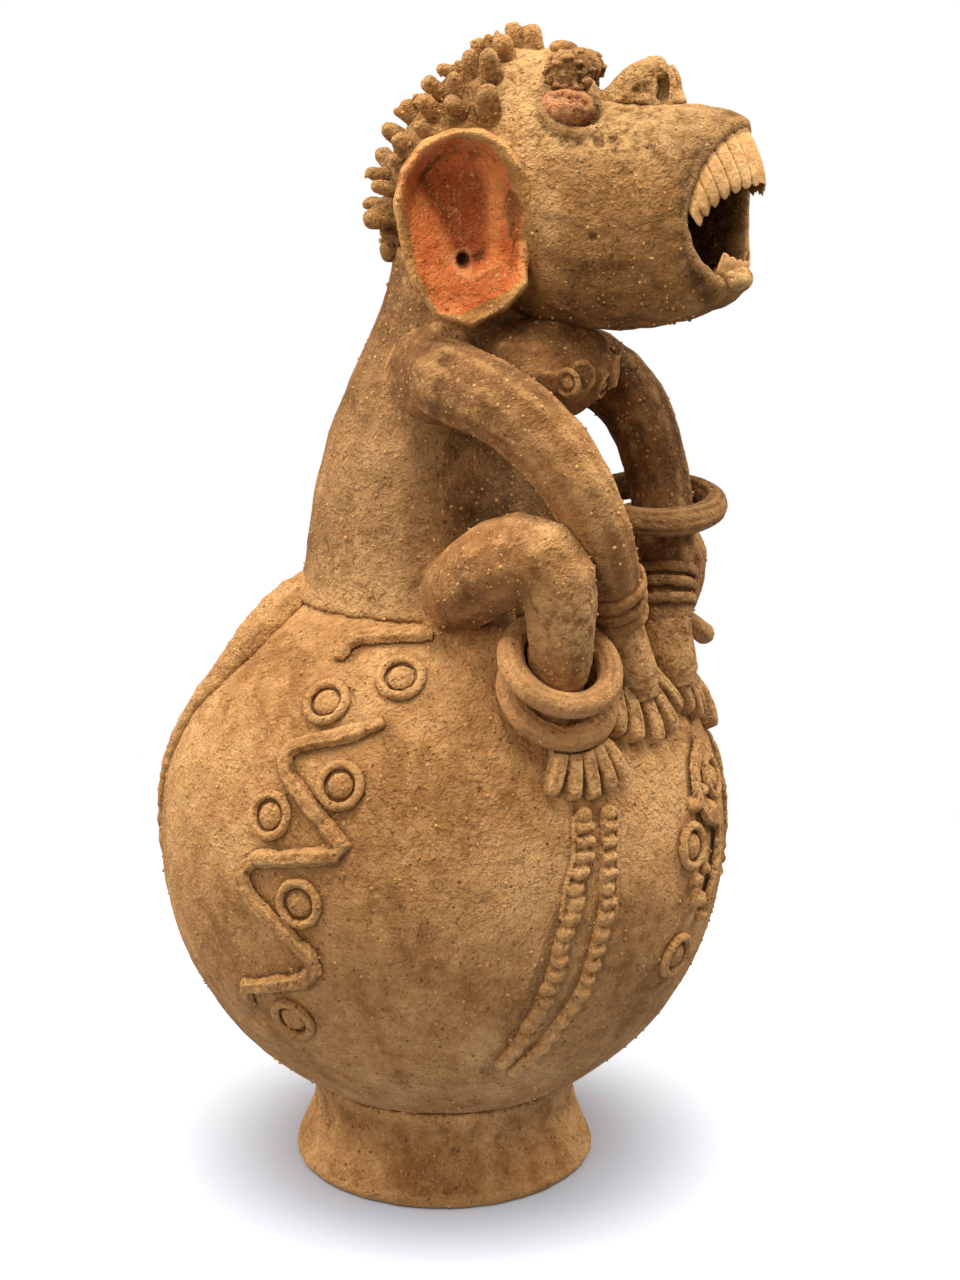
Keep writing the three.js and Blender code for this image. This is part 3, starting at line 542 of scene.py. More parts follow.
def weigh(tree, source, start, full, most=1.0, least=0.0, within=1.0):
    """A weight that grows softly from least to most between two values of its source, held within another."""
    weight = add(tree, "MapRange", {0: source, 1: start, 2: full, 3: least, 4: most},
                 interpolation_type="SMOOTHSTEP")
    return add(tree, "Math", {0: weight, 1: within}, operation="MULTIPLY")


def scatter(tree, place, size, share, radius):
    """Scattered spots, from 0 to 1: their spacing in millimetres, the share kept, and their radius."""
    distance = add(tree, "TexVoronoi", {"Vector": place, "Scale": 1 / (size * MM), "Randomness": 1.0})
    chance = add(tree, "SeparateColor", {0: distance.node.outputs["Color"]})
    kept, wide, tone = chance.node.outputs
    reach = weigh(tree, wide, 0, 1, radius, radius * 0.5)
    inside = add(tree, "Math", {0: reach, 1: distance}, operation="SUBTRACT")
    return weigh(tree, inside, 0, 0.08, within=weigh(tree, kept, 1 - share, 1.02 - share)), tone


def tempered_clay(name, light, middle, dark, rough=1.0, grit=1.0):
    """Coarse red-brown earthenware, low fired and unglazed, with grit temper, burial wear and soot, and with
    painted shade and painted highlight laid on by the marks of each piece.
    It looks dull and dry, with tan flakes about 1 mm across, small pits, scratches and brown clouds."""
    material = bpy.data.materials.new(name)
    tree = new_tree(material)
    place = add(tree, "TexCoord", out="Object")
    clouds, patches, crumbs, fine, bends = [
        add(tree, "TexNoise", {"Vector": place, "Scale": 1 / (size * MM), "Detail": detail,
                               "Roughness": busy, "Distortion": distort})
        for size, detail, busy, distort in (
            (38, 3, 0.6, 0), (9, 4, 0.65, 0), (3.6, 3, 0.6, 0.6), (1.3, 3, 0.7, 0), (3.4, 1, 0.5, 0.8))]
    torn = add(tree, "TexNoise", {"Vector": place, "Scale": 1 / (1.2 * MM), "Detail": 2.0}, "Color")
    torn = add(tree, "VectorMath", {0: torn, 1: (1.1 * MM,) * 3}, operation="MULTIPLY")
    ragged = add(tree, "VectorMath", {0: place, 1: torn}, operation="ADD")
    flakes, flake_tone = scatter(tree, ragged, 1.9, 0.46 * grit, 0.42)
    specks, _ = scatter(tree, ragged, 1.15, 0.20 * grit, 0.42)
    pits, _ = scatter(tree, ragged, 2.3, 0.25 * grit, 0.3)
    # Thin curved scratches run between the lumps of a noise, where the patches are high
    line = add(tree, "Math", {0: bends, 1: 0.5}, operation="SUBTRACT")
    line = add(tree, "Math", {0: line}, operation="ABSOLUTE")
    scratch = weigh(tree, line, 0.0088, 0.022, 0, 1, within=weigh(tree, patches, 0.54, 0.62))
    pigment, deep, dust_and_painted_highlight, soot_and_painted_shade, hollow = [
        add(tree, "Attribute", out="Fac", attribute_name=name)
        for name in ("pigment", "deep", "dust_and_painted_highlight", "soot_and_painted_shade", "hollow")]

    tone = add(tree, "Mix", {0: 0.45, 2: clouds, 3: patches})
    ragged_edge = add(tree, "Math", {0: crumbs, 1: 0.8, 2: pigment}, operation="MULTIPLY_ADD")
    red, flake, body = colour("#d06a33"), colour("#b97c44"), colour(dark)
    red = add(tree, "Mix", {0: weigh(tree, tone, 0.4, 0.6), 6: red, 7: colour("#ea8c52")}, 2,
              data_type="RGBA")
    # Painted shade: the ear's red darkens deeper in its dish
    red = add(tree, "Mix", {0: deep, 6: red, 7: colour("#8a3412")}, 2, data_type="RGBA")
    flake = add(tree, "Mix", {0: weigh(tree, flake_tone, 0.3, 0.9), 6: flake, 7: colour("#e8bb80")}, 2,
                data_type="RGBA")
    # Each layer of colour lies over the ones before it by its weight
    for weight, tint in (
            (weigh(tree, tone, 0.38, 0.52), colour(middle)),
            (weigh(tree, tone, 0.50, 0.64), colour(light)),
            (weigh(tree, ragged_edge, 0.82, 0.96), red),
            # Pale dust over the crumbs, together with painted highlight on faces turned up and forward to the
            # light
            (weigh(tree, crumbs, 0.3, 0.6, within=dust_and_painted_highlight), colour("#efc285")),
            # Soot clouds, together with painted shade in recesses, under overhangs and where the head shades
            # the shoulder
            (weigh(tree, patches, 0.25, 0.6, 0.75, 1, within=soot_and_painted_shade), colour("#3c2814")),
            # Painted shade in hollows and in the creases beside neighbouring pieces; raised edges are lighter
            # below, as wear
            (weigh(tree, hollow, 0.12, 1.0, 0.62), colour("#4a2f16")),
            (weigh(tree, hollow, -0.2, -0.9, 0.38), colour("#e3b074")),
            (weigh(tree, fine, 0.52, 0.72, 0.45), colour(light)),
            (weigh(tree, fine, 0.48, 0.28, 0.50), colour(dark)),
            (add(tree, "Math", {0: flakes, 1: 0.62}, operation="MULTIPLY"), flake),
            (add(tree, "Math", {0: specks, 1: 0.5}, operation="MULTIPLY"), colour("#d9a568")),
            (add(tree, "Math", {0: scratch, 1: 0.5}, operation="MULTIPLY"), colour("#e0b074")),
            (add(tree, "Math", {0: pits, 1: 0.55}, operation="MULTIPLY"), colour("#442a14"))):
        body = add(tree, "Mix", {0: weight, 6: body, 7: tint}, 2, data_type="RGBA")
    height = 0.0
    for layer, rise in ((crumbs, 2.0), (fine, 1.3), (flakes, 0.7), (specks, 0.22), (pits, -1.1),
                        (scratch, -0.3)):
        height = add(tree, "Math", {0: layer, 1: rise, 2: height}, operation="MULTIPLY_ADD")
    bump = add(tree, "Bump", {"Height": height, "Strength": rough, "Distance": 1.8 * MM})
    surface = add(tree, "BsdfPrincipled", {"Base Color": body, "Roughness": 0.92, "IOR": 1.45,
                                           "Specular IOR Level": 0.25, "Normal": bump})
    add(tree, "OutputMaterial", {"Surface": surface})
    return material


CLAY = tempered_clay("earthenware_body", "#dfae76", "#c2905a", "#a0703f")
TORSO_CLAY = tempered_clay("earthenware_brown", "#bf9162", "#a1774a", "#7f5934")
LIMB_CLAY = tempered_clay("earthenware_rubbed", "#b98854", "#9a6c40", "#77512e", rough=0.75, grit=0.8)
HEAD_CLAY = tempered_clay("earthenware_head", "#cf9f67", "#a97b48", "#7d5630", grit=0.9)
# A darker copy for the far arm, its ring and its bands: painted shade of the side turned away from the light
FAR_SIDE_SHADED_CLAY = tempered_clay("earthenware_shaded_far_side", "#93693f", "#704d2c", "#4e341c", rough=0.75, grit=0.6)
RING_CLAY = tempered_clay("earthenware_ring", "#b38355", "#946a42", "#704c2f", rough=0.6, grit=0.7)
EYE_CLAY = tempered_clay("earthenware_reddened", "#d9976c", "#b4714b", "#7d4c2e", rough=0.9, grit=0.7)
EAR_CLAY = tempered_clay("earthenware_red_earth", "#d9a262", "#c08a4c", "#93653a", rough=0.8, grit=0.6)
TOOTH_SLIP = tempered_clay("earthenware_pale_slip", "#e6bb84", "#d6a56c", "#a97844", rough=0.35, grit=0.3)
GRAIN_CLAY = tempered_clay("earthenware_grit", "#d0a068", "#b8864f", "#95683a", rough=0.3, grit=0.0)

# The globe and its foot


def part_point(x, y, z):
    """A place in the part's own millimetres, whose origin lies under the globe's axis."""
    return Vector((GLOBE.x + x * MM, GLOBE.y + y * MM, z * MM))


LAID_ON_GLOBE = ("roundel_", "scroll_", "zigzag_", "bead_row_", "hand_", "foot_")
ON_GLOBE = sorted(node for node in NODES if node.startswith(LAID_ON_GLOBE))
globe = copy_of("globe", "globe_skin")
remesh(globe, 1.75, smooth=1)
for vertex in globe.data.vertices:
    away = vertex.co - GLOBE
    if away.z < GLOBE_RADIUS * 0.93 and away.length > GLOBE_RADIUS - GLOBE_WALL / 2:
        vertex.co = GLOBE + away.normalized() * (GLOBE_RADIUS - 0.3 * MM)
lumps(globe, (55, 1.4), (14, 0.8), (5, 0.5))
stand_in(globe, ["globe"], CLAY, beside=ON_GLOBE, reach=2.4)

foot = copy_of("foot_ring", "foot_ring_skin")
remesh(foot, 1.2, smooth=10)
swell(foot, 0.35)
lute(foot, ["globe"], reach=9, rise=3.5)
soften(foot, 3)
lumps(foot, (30, 1.0), (6, 0.7))
stand_in(foot, ["foot_ring"], CLAY)

# Torso, arms, legs and tail: voxel, smoothing, what carries them, how far off and how much they are
# smeared onto it, and their clay

LIMBS = [
    ("torso", 1.4, 14, ["globe"], 13, 6, TORSO_CLAY),
    ("arm_right", 1.0, 16, ["torso"], 13, 7, LIMB_CLAY),
    ("arm_left", 1.0, 16, ["torso"], 13, 7, FAR_SIDE_SHADED_CLAY),
    ("leg_right", 1.0, 16, ["torso", "globe"], 8, 3.2, LIMB_CLAY),
    ("leg_left", 1.0, 16, ["torso", "globe"], 8, 3.2, LIMB_CLAY),
    ("tail", 0.9, 6, ["globe", "torso"], 5, 2.0, CLAY),
]
# Darker and lighter spots: painted shade in the lap, the armpit and on the shoulder under the head, smoke
# stains, and rubbed light spots together with painted highlight on the knee and shin. Each holds a pixel, a
# radius in pixels and a strength.
STAINS_AND_PAINTED_LIGHT = {
    "torso": {"soot_and_painted_shade": [(492, 522, 75, 0.8), (520, 470, 60, 0.6), (455, 425, 60, 0.25)],
              "dust_and_painted_highlight": [(380, 500, 110, 0.25), (360, 590, 90, 0.5)]},
    "arm_right": {"soot_and_painted_shade": [(430, 385, 95, 0.45), (505, 412, 80, 0.45)], "dust_and_painted_highlight": [(600, 500, 50, 0.3)]},
    "leg_right": {"soot_and_painted_shade": [(450, 600, 60, 0.3)], "dust_and_painted_highlight": [(552, 520, 50, 0.55), (572, 620, 70, 0.5)]},
}
# Where a limb thins into the body: its end on the right side, the stretch along y, and how much it thins
ROOTS = {"leg": ((-30, -20, 221), -52, -14, 0.5), "arm": ((-24, -10, 298), -38, -6, 0.4)}
THIGH_SEAM = [(408, 592), (424, 607), (450, 620), (480, 628), (508, 622)]  # pixels where it meets the globe
for node, voxel, smooth, onto, reach, rise, material in LIMBS:
    piece = copy_of(node, node + "_skin")
    remesh(piece, voxel, smooth)
    limb, _, side = node.partition("_")
    if limb in ROOTS:
        (x, y, z), start, stop, amount = ROOTS[limb]
        root = part_point(x if side == "right" else -x, y, z)
        for vertex in piece.data.vertices:
            vertex.co = vertex.co.lerp(root, amount * ramp((vertex.co.y - GLOBE.y) / MM, start, stop))
    if node == "leg_right":
        fillet = globe_coil("fillet", [(*on_globe(*pixel), 4.5, 1.5) for pixel in THIGH_SEAM])
        piece = join(node + "_skin", [piece, fillet])
        remesh(piece, 0.9, 4)
    swell(piece, 0.45)
    lute(piece, onto, reach, rise, sink=1.4)
    if node == "torso":
        lute(piece, ["head"], 7, 2.2)
    soften(piece, 4)
    lumps(piece, (22, 1.2), (6, 0.6))
    if node == "tail":
        lumps(piece, (4, 1.6))
    for name, spots in STAINS_AND_PAINTED_LIGHT.get(node, {}).items():
        mark_spots(piece, name, spots)
    stand_in(piece, [node], material, depth=0.35)

POUCH_ROUNDELS = [(568, 383), (603, 385)]
pouch = copy_of("throat_pouch", "throat_pouch_skin")
remesh(pouch, 0.8, 3)
pouch_tree = tree_of(pouch)
parts = [pouch]
for pixel in POUCH_ROUNDELS:
    middle, way, _, _ = pouch_tree.ray_cast(EYE_POINT, ray(*pixel))
    if middle is not None:
        parts.append(hoop("hoop", middle, way, 4.3, 1.15))
        parts.append(ball("disc", middle, (2.5, 2.5, 1.3), way))
pouch = join("throat_pouch_skin", parts)
remesh(pouch, 0.55, 1)
lute(pouch, ["torso", "head"], 4, 1.0)
lumps(pouch, (7, 0.8))
stand_in(pouch, ["throat_pouch"], LIMB_CLAY, beside=["torso", "head", "arm_right", "arm_left"])

# Loose rings: middle, axis, radius of the ring's middle line, radius of its coil

RINGS = {
    "ankle_ring_right_upper": ((-41, -77.3, 208.6), (-0.315, -0.55, 0.773), 17.5, 4.7),
    "ankle_ring_right_lower": ((-38.5, -74.7, 197.4), (-0.337, -0.637, 0.694), 17.5, 4.7),
    "ankle_ring_left_upper": ((56.4, -63.5, 209.4), (0.444, -0.445, 0.778), 15.8, 4.2),
    "ankle_ring_left_lower": ((52.4, -61, 199.2), (0.484, -0.562, 0.671), 15.8, 4.2),
    "arm_ring_left": ((34.6, -68.9, 252), (-0.14, -0.1, 0.985), 21, 5.3),
}
for node, (middle, axis, radius, thick) in RINGS.items():
    ring = hoop(node + "_skin", part_point(*middle), Vector(axis).normalized(), radius, thick - 0.15)
    remesh(ring, 0.75, 1)
    lumps(ring, (14, 0.7), (5, 0.2))
    stand_in(ring, [node], FAR_SIDE_SHADED_CLAY if node.startswith("arm") else RING_CLAY, node)

# Where the ankle rings come to: the heights in millimetres that each takes as it slides up its axis
RING_LIFTS = {"ankle_ring_right_upper": (0, 2, 4), "ankle_ring_right_lower": (0,),
              "ankle_ring_left_upper": (0, 1, 2), "ankle_ring_left_lower": (0,)}
RING_STOPS = []
for node, lifts in RING_LIFTS.items():
    middle, axis, radius, thick = RINGS[node]
    way = Vector(axis).normalized()
    for lift in lifts:
        centre = part_point(*middle) + way * lift * MM
        RING_STOPS.append((numpy.array(centre), numpy.array(way), radius, thick))


def off_ring(place, stop):
    """For points in rows: the nearest points of a ring's middle line, and the ways from there."""
    centre, way, radius, _ = stop
    away = place - centre
    flat = away - numpy.outer(away @ way, way)
    core = centre + flat / numpy.linalg.norm(flat, axis=1, keepdims=True) * radius * MM
    return core, place - core


def clear_rings(piece, room=0.5):
    """Keeps clay out of the space of the ankle rings, which turn and slide."""
    place = read(piece.data)
    for stop in RING_STOPS:
        core, off = off_ring(place, stop)
        length = numpy.linalg.norm(off, axis=1, keepdims=True)
        free = (stop[3] + room) * MM
        place = numpy.where(length < free, core + off / length * free, place)
    write(piece.data, place)


for side in ("right", "left"):
    clear_rings(bpy.data.objects[f"leg_{side}_skin"])

# Hands and feet: the palm or ankle is a coil, and each digit is a squared roll on the globe

PALMS = {
    "hand_right": [(-8.2, -79.4, 221, 8.6), (-7.6, -79.6, 214, 8.9), (-6.4, -81.8, 206, 9.2),
                   (-5.3, -84.8, 197, 9.2), (-5, -87, 190, 6.5)],
    "hand_left": [(26.9, -79.2, 216, 8.3), (26, -80, 209, 8.4), (25.2, -81.8, 203, 8.4),
                  (24.9, -84.2, 196, 8.2), (24.6, -86, 189, 6)],
    "foot_right": [(-40.6, -76, 206, 9.6), (-39.5, -74.4, 200, 9.8), (-37.6, -71.5, 193, 9.8),
                   (-35.5, -68, 186, 9.6)],
    "foot_left": [(53.4, -61.2, 204, 8.3), (52.3, -59.4, 198, 8.5), (50.4, -57, 191, 8.6),
                  (48, -54, 184, 8.6)],
}
DIGITS = {
    "hand_right": [[(-10.2, 46.5), (-12.2, 53), (-14.4, 59)], [(-7.6, 47), (-8.4, 54), (-9.6, 61)],
                   [(-4.6, 47), (-3.6, 55), (-3.2, 62.3)], [(-1.4, 47), (1.2, 55), (3.9, 61.7)],
                   [(2, 46.5), (6.8, 53), (10.8, 58.6)]],
    "hand_left": [[(14, 47), (15.5, 54), (16.8, 60.5)], [(17.2, 47.5), (19.3, 55), (21.3, 62.6)],
                  [(20.4, 47.5), (23.4, 55), (25.8, 62.8)], [(23.6, 47.5), (27.3, 55), (30.2, 60.6)]],
    "foot_right": [[(-29, 56), (-30, 60), (-33.4, 67.6)], [(-28, 56), (-27.6, 61), (-29, 69)],
                   [(-26.4, 56), (-24.8, 61), (-24.6, 69.4)], [(-24.8, 56), (-22.2, 61), (-20.2, 68.4)],
                   [(-23.4, 56), (-19.6, 60.5), (-16.4, 66.8)]],
}
DIGITS["foot_left"] = [[(on_side(a, "left"), p) for a, p in toe] for toe in DIGITS["foot_right"]]

for node, digits in DIGITS.items():
    is_hand = node.startswith("hand")
    palm = PALMS[node]
    parts = [coil("palm", [part_point(*p[:3]) for p in palm], [p[3] for p in palm])]
    half = 2.8 if is_hand else 2.45
    heights = (9, 7.2, 5.2) if is_hand else (3.4, 7.2, 5.6)
    for digit in digits:
        (a0, p0), (a1, p1), (a2, p2) = digit
        line = [(a0, p0, half * 0.9, heights[0]), (a1, p1, half, heights[1]),
                ((a1 + a2) / 2, (p1 + p2) / 2, half, heights[1] * 0.92), (a2, p2, half * 1.02, heights[2])]
        parts.append(globe_bar("digit", line))
    piece = join(node + "_skin", parts)
    remesh(piece, 0.45, 1)
    lute(piece, ["globe"], 2.5, 0.7)
    lumps(piece, (6, 0.5), (2.5, 0.25))
    clear_rings(piece)
    # Dust over the hands and feet, together with painted highlight that lightens them
    mark(piece, "dust_and_painted_highlight", [0.45] * len(piece.data.vertices))
    stand_in(piece, [node], LIMB_CLAY, depth=0.2, beside=["globe"])

# Clay bands on the wrists: middle, way along the arm, radius

BANDS = {
    "right": [((-17.9, -82.6, 232.8), (6.4, 2.4, -8.2), 10.1), ((-12.9, -80.7, 226.7), (3.7, 1.4, -5), 9.6),
              ((-9.2, -79.6, 220.5), (1.6, 0.3, -3.5), 9.2)],
    "left": [((30.9, -75.9, 228.4), (-2.2, -1.2, -6), 9.6), ((29.3, -76.9, 223.7), (-1.8, -1, -5), 9.3),
             ((27.9, -78, 218.8), (-1.2, -1, -5), 9.0)],
}
for side, bands in BANDS.items():
    for i, (middle, way, radius) in enumerate(bands, 1):
        node = f"bracelet_{side}_{i}"
        band = hoop(node + "_skin", part_point(*middle), Vector(way).normalized(), radius + 0.3, 1.9,
                    1.5 if side == "right" else 1.15)
        remesh(band, 0.5, 1)
        lumps(band, (6, 0.7), (2.5, 0.25))
        stand_in(band, [node], LIMB_CLAY if side == "right" else FAR_SIDE_SHADED_CLAY, beside=[f"arm_{side}"])

# Ornament on the globe

# Lumps that fill the winding band on the front: pixel, and size in millimetres
FRONT_LUMPS = [(693, 805, 4), (708, 808, 4.4), (700, 790, 3.6), (694, 880, 4), (696, 898, 4.4),
               (699, 915, 3.4), (704, 868, 3.2)]
for node in ON_GLOBE:
    if node.startswith("roundel_"):
        points = [vertex.co for vertex in NODES[node].data.vertices]
        way = (sum(points, Vector()) / len(points) - GLOBE).normalized()
        ring = hoop("hoop", GLOBE + way * (GLOBE_RADIUS + 0.9 * MM), way, 7.2, 1.6)
        disc = ball("disc", GLOBE + way * (GLOBE_RADIUS + 0.1 * MM), (4.7, 4.7, 2.2), way, 20, 10)
        piece = join(node + "_skin", [ring, disc])
        for vertex in piece.data.vertices:
            away = vertex.co - GLOBE
            across = away - way * away.dot(way)
            vertex.co -= way * across.length_squared / (2 * GLOBE_RADIUS)
        remesh(piece, 0.45, 1)
        lumps(piece, (4, 0.6), (2, 0.25))
        stand_in(piece, [node], CLAY, depth=0.18, beside=["globe"])
    elif node.startswith(("scroll_", "zigzag_")):
        parts = [copy_of(node, node + "_skin")]
        if node == "scroll_front":
            for px, py, size in FRONT_LUMPS:
                spot = GLOBE + heading(*on_globe(px, py)) * GLOBE_RADIUS
                parts.append(ball("lump", spot, (size, size, size * 0.8)))
        piece = join(node + "_skin", parts)
        remesh(piece, 0.55, 2)
        swell(piece, -0.5 if node == "scroll_front" else -0.1)
        lute(piece, ["globe"], 2, 1.0)
        lumps(piece, (8, 1.4), (3, 0.9))
        stand_in(piece, [node], CLAY, depth=0.18, beside=["globe"])

# Bead rows, as pixels of the photograph, from the toes down
BEAD_ROWS = [
    [(583, 815), (583, 828), (583, 842), (583, 857), (580, 872), (575, 889), (574, 903), (571, 917),
     (565, 933), (561, 946), (558, 959), (555, 973), (550, 986), (546, 999), (538, 1012), (531, 1023),
     (524, 1036), (515, 1048), (505, 1060)],
    [(607, 813), (607, 827), (607, 842), (607, 857), (607, 873), (606, 888), (606, 902), (604, 917),
     (599, 934), (596, 949), (592, 964), (587, 977), (581, 992), (571, 1007), (561, 1020), (552, 1033),
     (542, 1046), (530, 1057), (516, 1069)],
]
RUNGS = [(1, 2, 3), (1, 2, 3, 4, 6)]  # the beads of each row that are rungs across it
HALF_WIDTHS = [4.3, 3.7]
EDGE_BEADS = 8  # how many beads the raised edge of a row runs along
EDGE_OFF = 4.1 / 1.8  # how far the edge lies beside the beads, in degrees of azimuth
shaky = random.Random(4)
for side in ("right", "left"):
    for number, row in enumerate(BEAD_ROWS):
        parts, line, edge = [], [], []
        for i, pixel in enumerate(row):
            azimuth, polar = on_globe(*pixel)
            azimuth = on_side(azimuth, side)
            way = heading(azimuth, polar)
            level = Vector((0, 0, 1)).cross(way).normalized()
            worn = (1 - 0.25 * ramp(i, 12, 19)) * (1 if side == "right" else 0.45 + 0.5 * ramp(i, 6, 10))
            broad = HALF_WIDTHS[number]
            line.append((azimuth, polar, 3.0, -0.8))
            if i < EDGE_BEADS:
                edge.append((azimuth + (EDGE_OFF if number else -EDGE_OFF), polar, 0.9, 0.3))
            if i in RUNGS[number]:
                middle = GLOBE + way * (GLOBE_RADIUS + 1.6 * worn * MM)
                ends = [middle + level * s * (broad - 1) * MM for s in (-1, 0, 1)]
                parts.append(coil("rung", ends, [1.7 * worn, 1.9 * worn, 1.7 * worn]))
            else:
                size = broad * (0.86 + shaky.uniform(-0.1, 0.12))
                spot = GLOBE + way * (GLOBE_RADIUS + 0.5 * MM) + level * shaky.uniform(-0.4, 0.4) * MM
                parts.append(ball("bead", spot, (size, size * 0.8, 3.1 * worn), way, 12, 8))
        parts.append(globe_coil("strip", line))
        if side == "right":
            parts.append(globe_coil("edge", edge))
        node = f"bead_row_{side}_{number + 1}"
        piece = join(node + "_skin", parts)
        remesh(piece, 0.5, 1)
        lumps(piece, (4, 0.8), (2, 0.3))
        stand_in(piece, [node], CLAY, depth=0.2, beside=["globe"])

# The head


def on_head_plane(px, py, x):
    """Where a pixel's sight line crosses the plane of one x in the frame of the head."""
    across = Matrix.Rotation(HEAD_TURN, 3, "Z") @ Vector((1, 0, 0))
    sight = ray(px, py)
    return EYE_POINT + sight * ((from_head(x, 0, 0) - EYE_POINT).dot(across) / sight.dot(across))


def on_cheek(px, py, lift=0.0):
    """The spot on the head's unbroken right side that a pixel shows."""
    x = -25.0
    for _ in range(8):
        _, y, z = head_frame(on_head_plane(px, py, x))
        top, bottom, across, egg, _ = head_section(y)
        slant = max(-1, min(1, (z - (top + bottom) / 2) / ((top - bottom) / 2)))
        x = -across * (1 - egg * slant) * math.sqrt(1 - slant ** 2) - lift
    return from_head(x, y, z)


def both_sides(points):
    """Points of the right side, and the same points on the left side."""
    return [points, [mirrored(point) for point in points]]


EYE_SPOT = (567, 103)  # the pixel in the middle of the eye socket
LOWER_LID = [(541, 108), (547, 121), (558, 129), (577, 132), (596, 131), (604, 123)]
CHEEK_PITS = [((599, 141), 3.2), ((611, 137), 2.4), ((592, 237), 1.8)]  # pixel, and radius in millimetres

head = copy_of("head", "head_skin")
remesh(head, 1.2, 1)
for vertex in head.data.vertices:
    x, y, z = head_frame(vertex.co)
    if -52 < y < 15:
        top, bottom, across, egg, _ = head_section(y)
        middle = (top + bottom) / 2
        slant = (z - middle) / ((top - bottom) / 2)
        reach = math.hypot(x / (across * (1 - egg * max(-1, min(1, slant)))), slant)
        if reach > 0.93:
            vertex.co = from_head(x / reach, y, middle + (z - middle) / reach)
soften(head, 4)
skull_tree = tree_of(head)
parts = [head]
ledge = [on_cheek(*pixel, 0.3) for pixel in LOWER_LID]
for points in both_sides(ledge):
    parts.append(coil("ledge", points, [1.2, 1.7, 2.0, 2.0, 1.9, 1.2]))
head = join("head_skin", parts)
remesh(head, 1.0, 2)
lumps(head, (18, 1.1), (4.5, 0.7))
for points in both_sides([on_cheek(*pixel) for pixel, _ in CHEEK_PITS]):
    press(head, [(point, radius) for point, (_, radius) in zip(points, CHEEK_PITS)], 1.8)


# Painted shade inside the mouth and round the eye socket; darker along the upper lip; soot stains on the
# muzzle and the crown
def soot_and_shade_on_head(vertex):
    x, y, z = head_frame(vertex.co)
    lip = ramp(-y, 100, 106) * ramp(z, 352, 366)
    inside = ramp(0.93 - math.hypot(x / 33, (z - 355) / 36), 0, 0.08) * ramp(-y, 62, 70) * ramp(y, -106, -99)
    stain = 0.35 * ramp(-y, 80, 96) * ramp(z, 362, 380)
    crown = 0.3 * ramp(y, -34, -14)
    px, py = pixel_of(vertex.co)
    socket = 0.6 * ramp(40 - math.hypot(px - EYE_SPOT[0], py - EYE_SPOT[1]), 0, 16)
    return max(lip * 0.6, inside * 0.95, crown, stain, socket)


# Dust on the top of the forehead and muzzle, together with painted highlight where the light from above falls
def dust_and_highlight_on_head(vertex):
    _, y, z = head_frame(vertex.co)
    return 0.7 * ramp(z, 362, 382) * ramp(-y, 26, 38) * ramp(y, -104, -94)


# Ears: relief and pigment in the ear's own frame, u towards the back and v up, in millimetres

EAR = (51, -27.7, 350.5)
EAR_SWING = math.radians(22)
EAR_RIDGE = [(17, 15.8), (12.2, 7.8), (8, 0.5), (4.8, -6.6), (1.5, -13.8)]
EAR_LOBE = [(9, -19), (1.5, -16.2), (-4.4, -15.1), (-12.3, -10.6), (-21.5, -5.4)]
EAR_HOLE = (-0.5, -10.5)
PIGMENT = [(10.5, 28.4), (0.1, 29.1), (-9, 26.9), (-13.8, 20.5), (-17.1, 11), (-20.4, 4.6),
           (-19.5, -3.5), (-23.1, -12.5), (-18.9, -17.4), (-9, -22.9), (0.9, -27.7), (7.5, -26.7),
           (12.3, -19.5), (15.6, -11.4), (16.5, -1.8), (19.7, 7.8), (20.3, 15.8), (16.3, 23.7)]


def line_gap(line, u, v):
    """Distance from a run of points. It is above 0 to the right of the run, below 0 to its left."""
    best, side = 1e9, 1
    for (u0, v0), (u1, v1) in zip(line, line[1:]):
        du, dv = u1 - u0, v1 - v0
        t = min(1, max(0, ((u - u0) * du + (v - v0) * dv) / (du * du + dv * dv)))
        gap = math.hypot(u - u0 - du * t, v - v0 - dv * t)
        if gap < best:
            best, side = gap, (u - u0) * dv - (v - v0) * du
    return math.copysign(best, side)


def ear_frame(point, side):
    """Place of a point over the dish of an ear: towards the back, up, and out."""
    local = head_frame(point) - Vector((side * EAR[0], EAR[1], EAR[2]))
    out = Vector((side * math.cos(EAR_SWING), -math.sin(EAR_SWING), 0))
    back = Vector((side * math.sin(EAR_SWING), math.cos(EAR_SWING), 0))
    return local.dot(back), local.z, local.dot(out)


def ear_out(side):
    return Matrix.Rotation(HEAD_TURN, 3, "Z") @ Vector((side * math.cos(EAR_SWING), -math.sin(EAR_SWING), 0))


def pigment_at(vertex, side):
    u, v, out = ear_frame(vertex.co, side)
    facing = ramp(vertex.normal.dot(ear_out(side)), -0.25, 0.15)
    if facing == 0:
        return 0
    return facing * ramp(-line_gap(PIGMENT + PIGMENT[:1], u, v), -1.5, 1.5)


def across_line(line, at):
    """The second value of a run of points at its first value, run on straight past both ends."""
    points = sorted(line)
    k = max(0, min(len(points) - 2, sum(at > point[0] for point in points) - 1))
    (a0, b0), (a1, b1) = points[k], points[k + 1]
    return b0 + (b1 - b0) * (at - a0) / (a1 - a0)


def dish_depth(u, v):
    """How far the painted side of the ear lies below its rim."""
    behind = (u - across_line([(b, a) for a, b in EAR_RIDGE], v)) * 0.85
    below = (across_line(EAR_LOBE, u) - v) * 0.9
    deep = -10 + 3 * ramp(v, 8, 30) + 6.5 * ramp(-u, 3, 15) * ramp(v, -16, -6)
    slope = -5.8 + 0.38 * max(0, min(12, behind))
    lobe = -2.6 + 0.1 * max(0, below)
    depth = deep + (slope - deep) * ramp(behind, -5, 1)
    depth = depth + (lobe - depth) * ramp(below, -5.5, 0.8)
    hole = ramp(math.hypot((u - EAR_HOLE[0]) / 0.85, v - EAR_HOLE[1]), 3.1, 1.7)
    return depth - 5 * hole


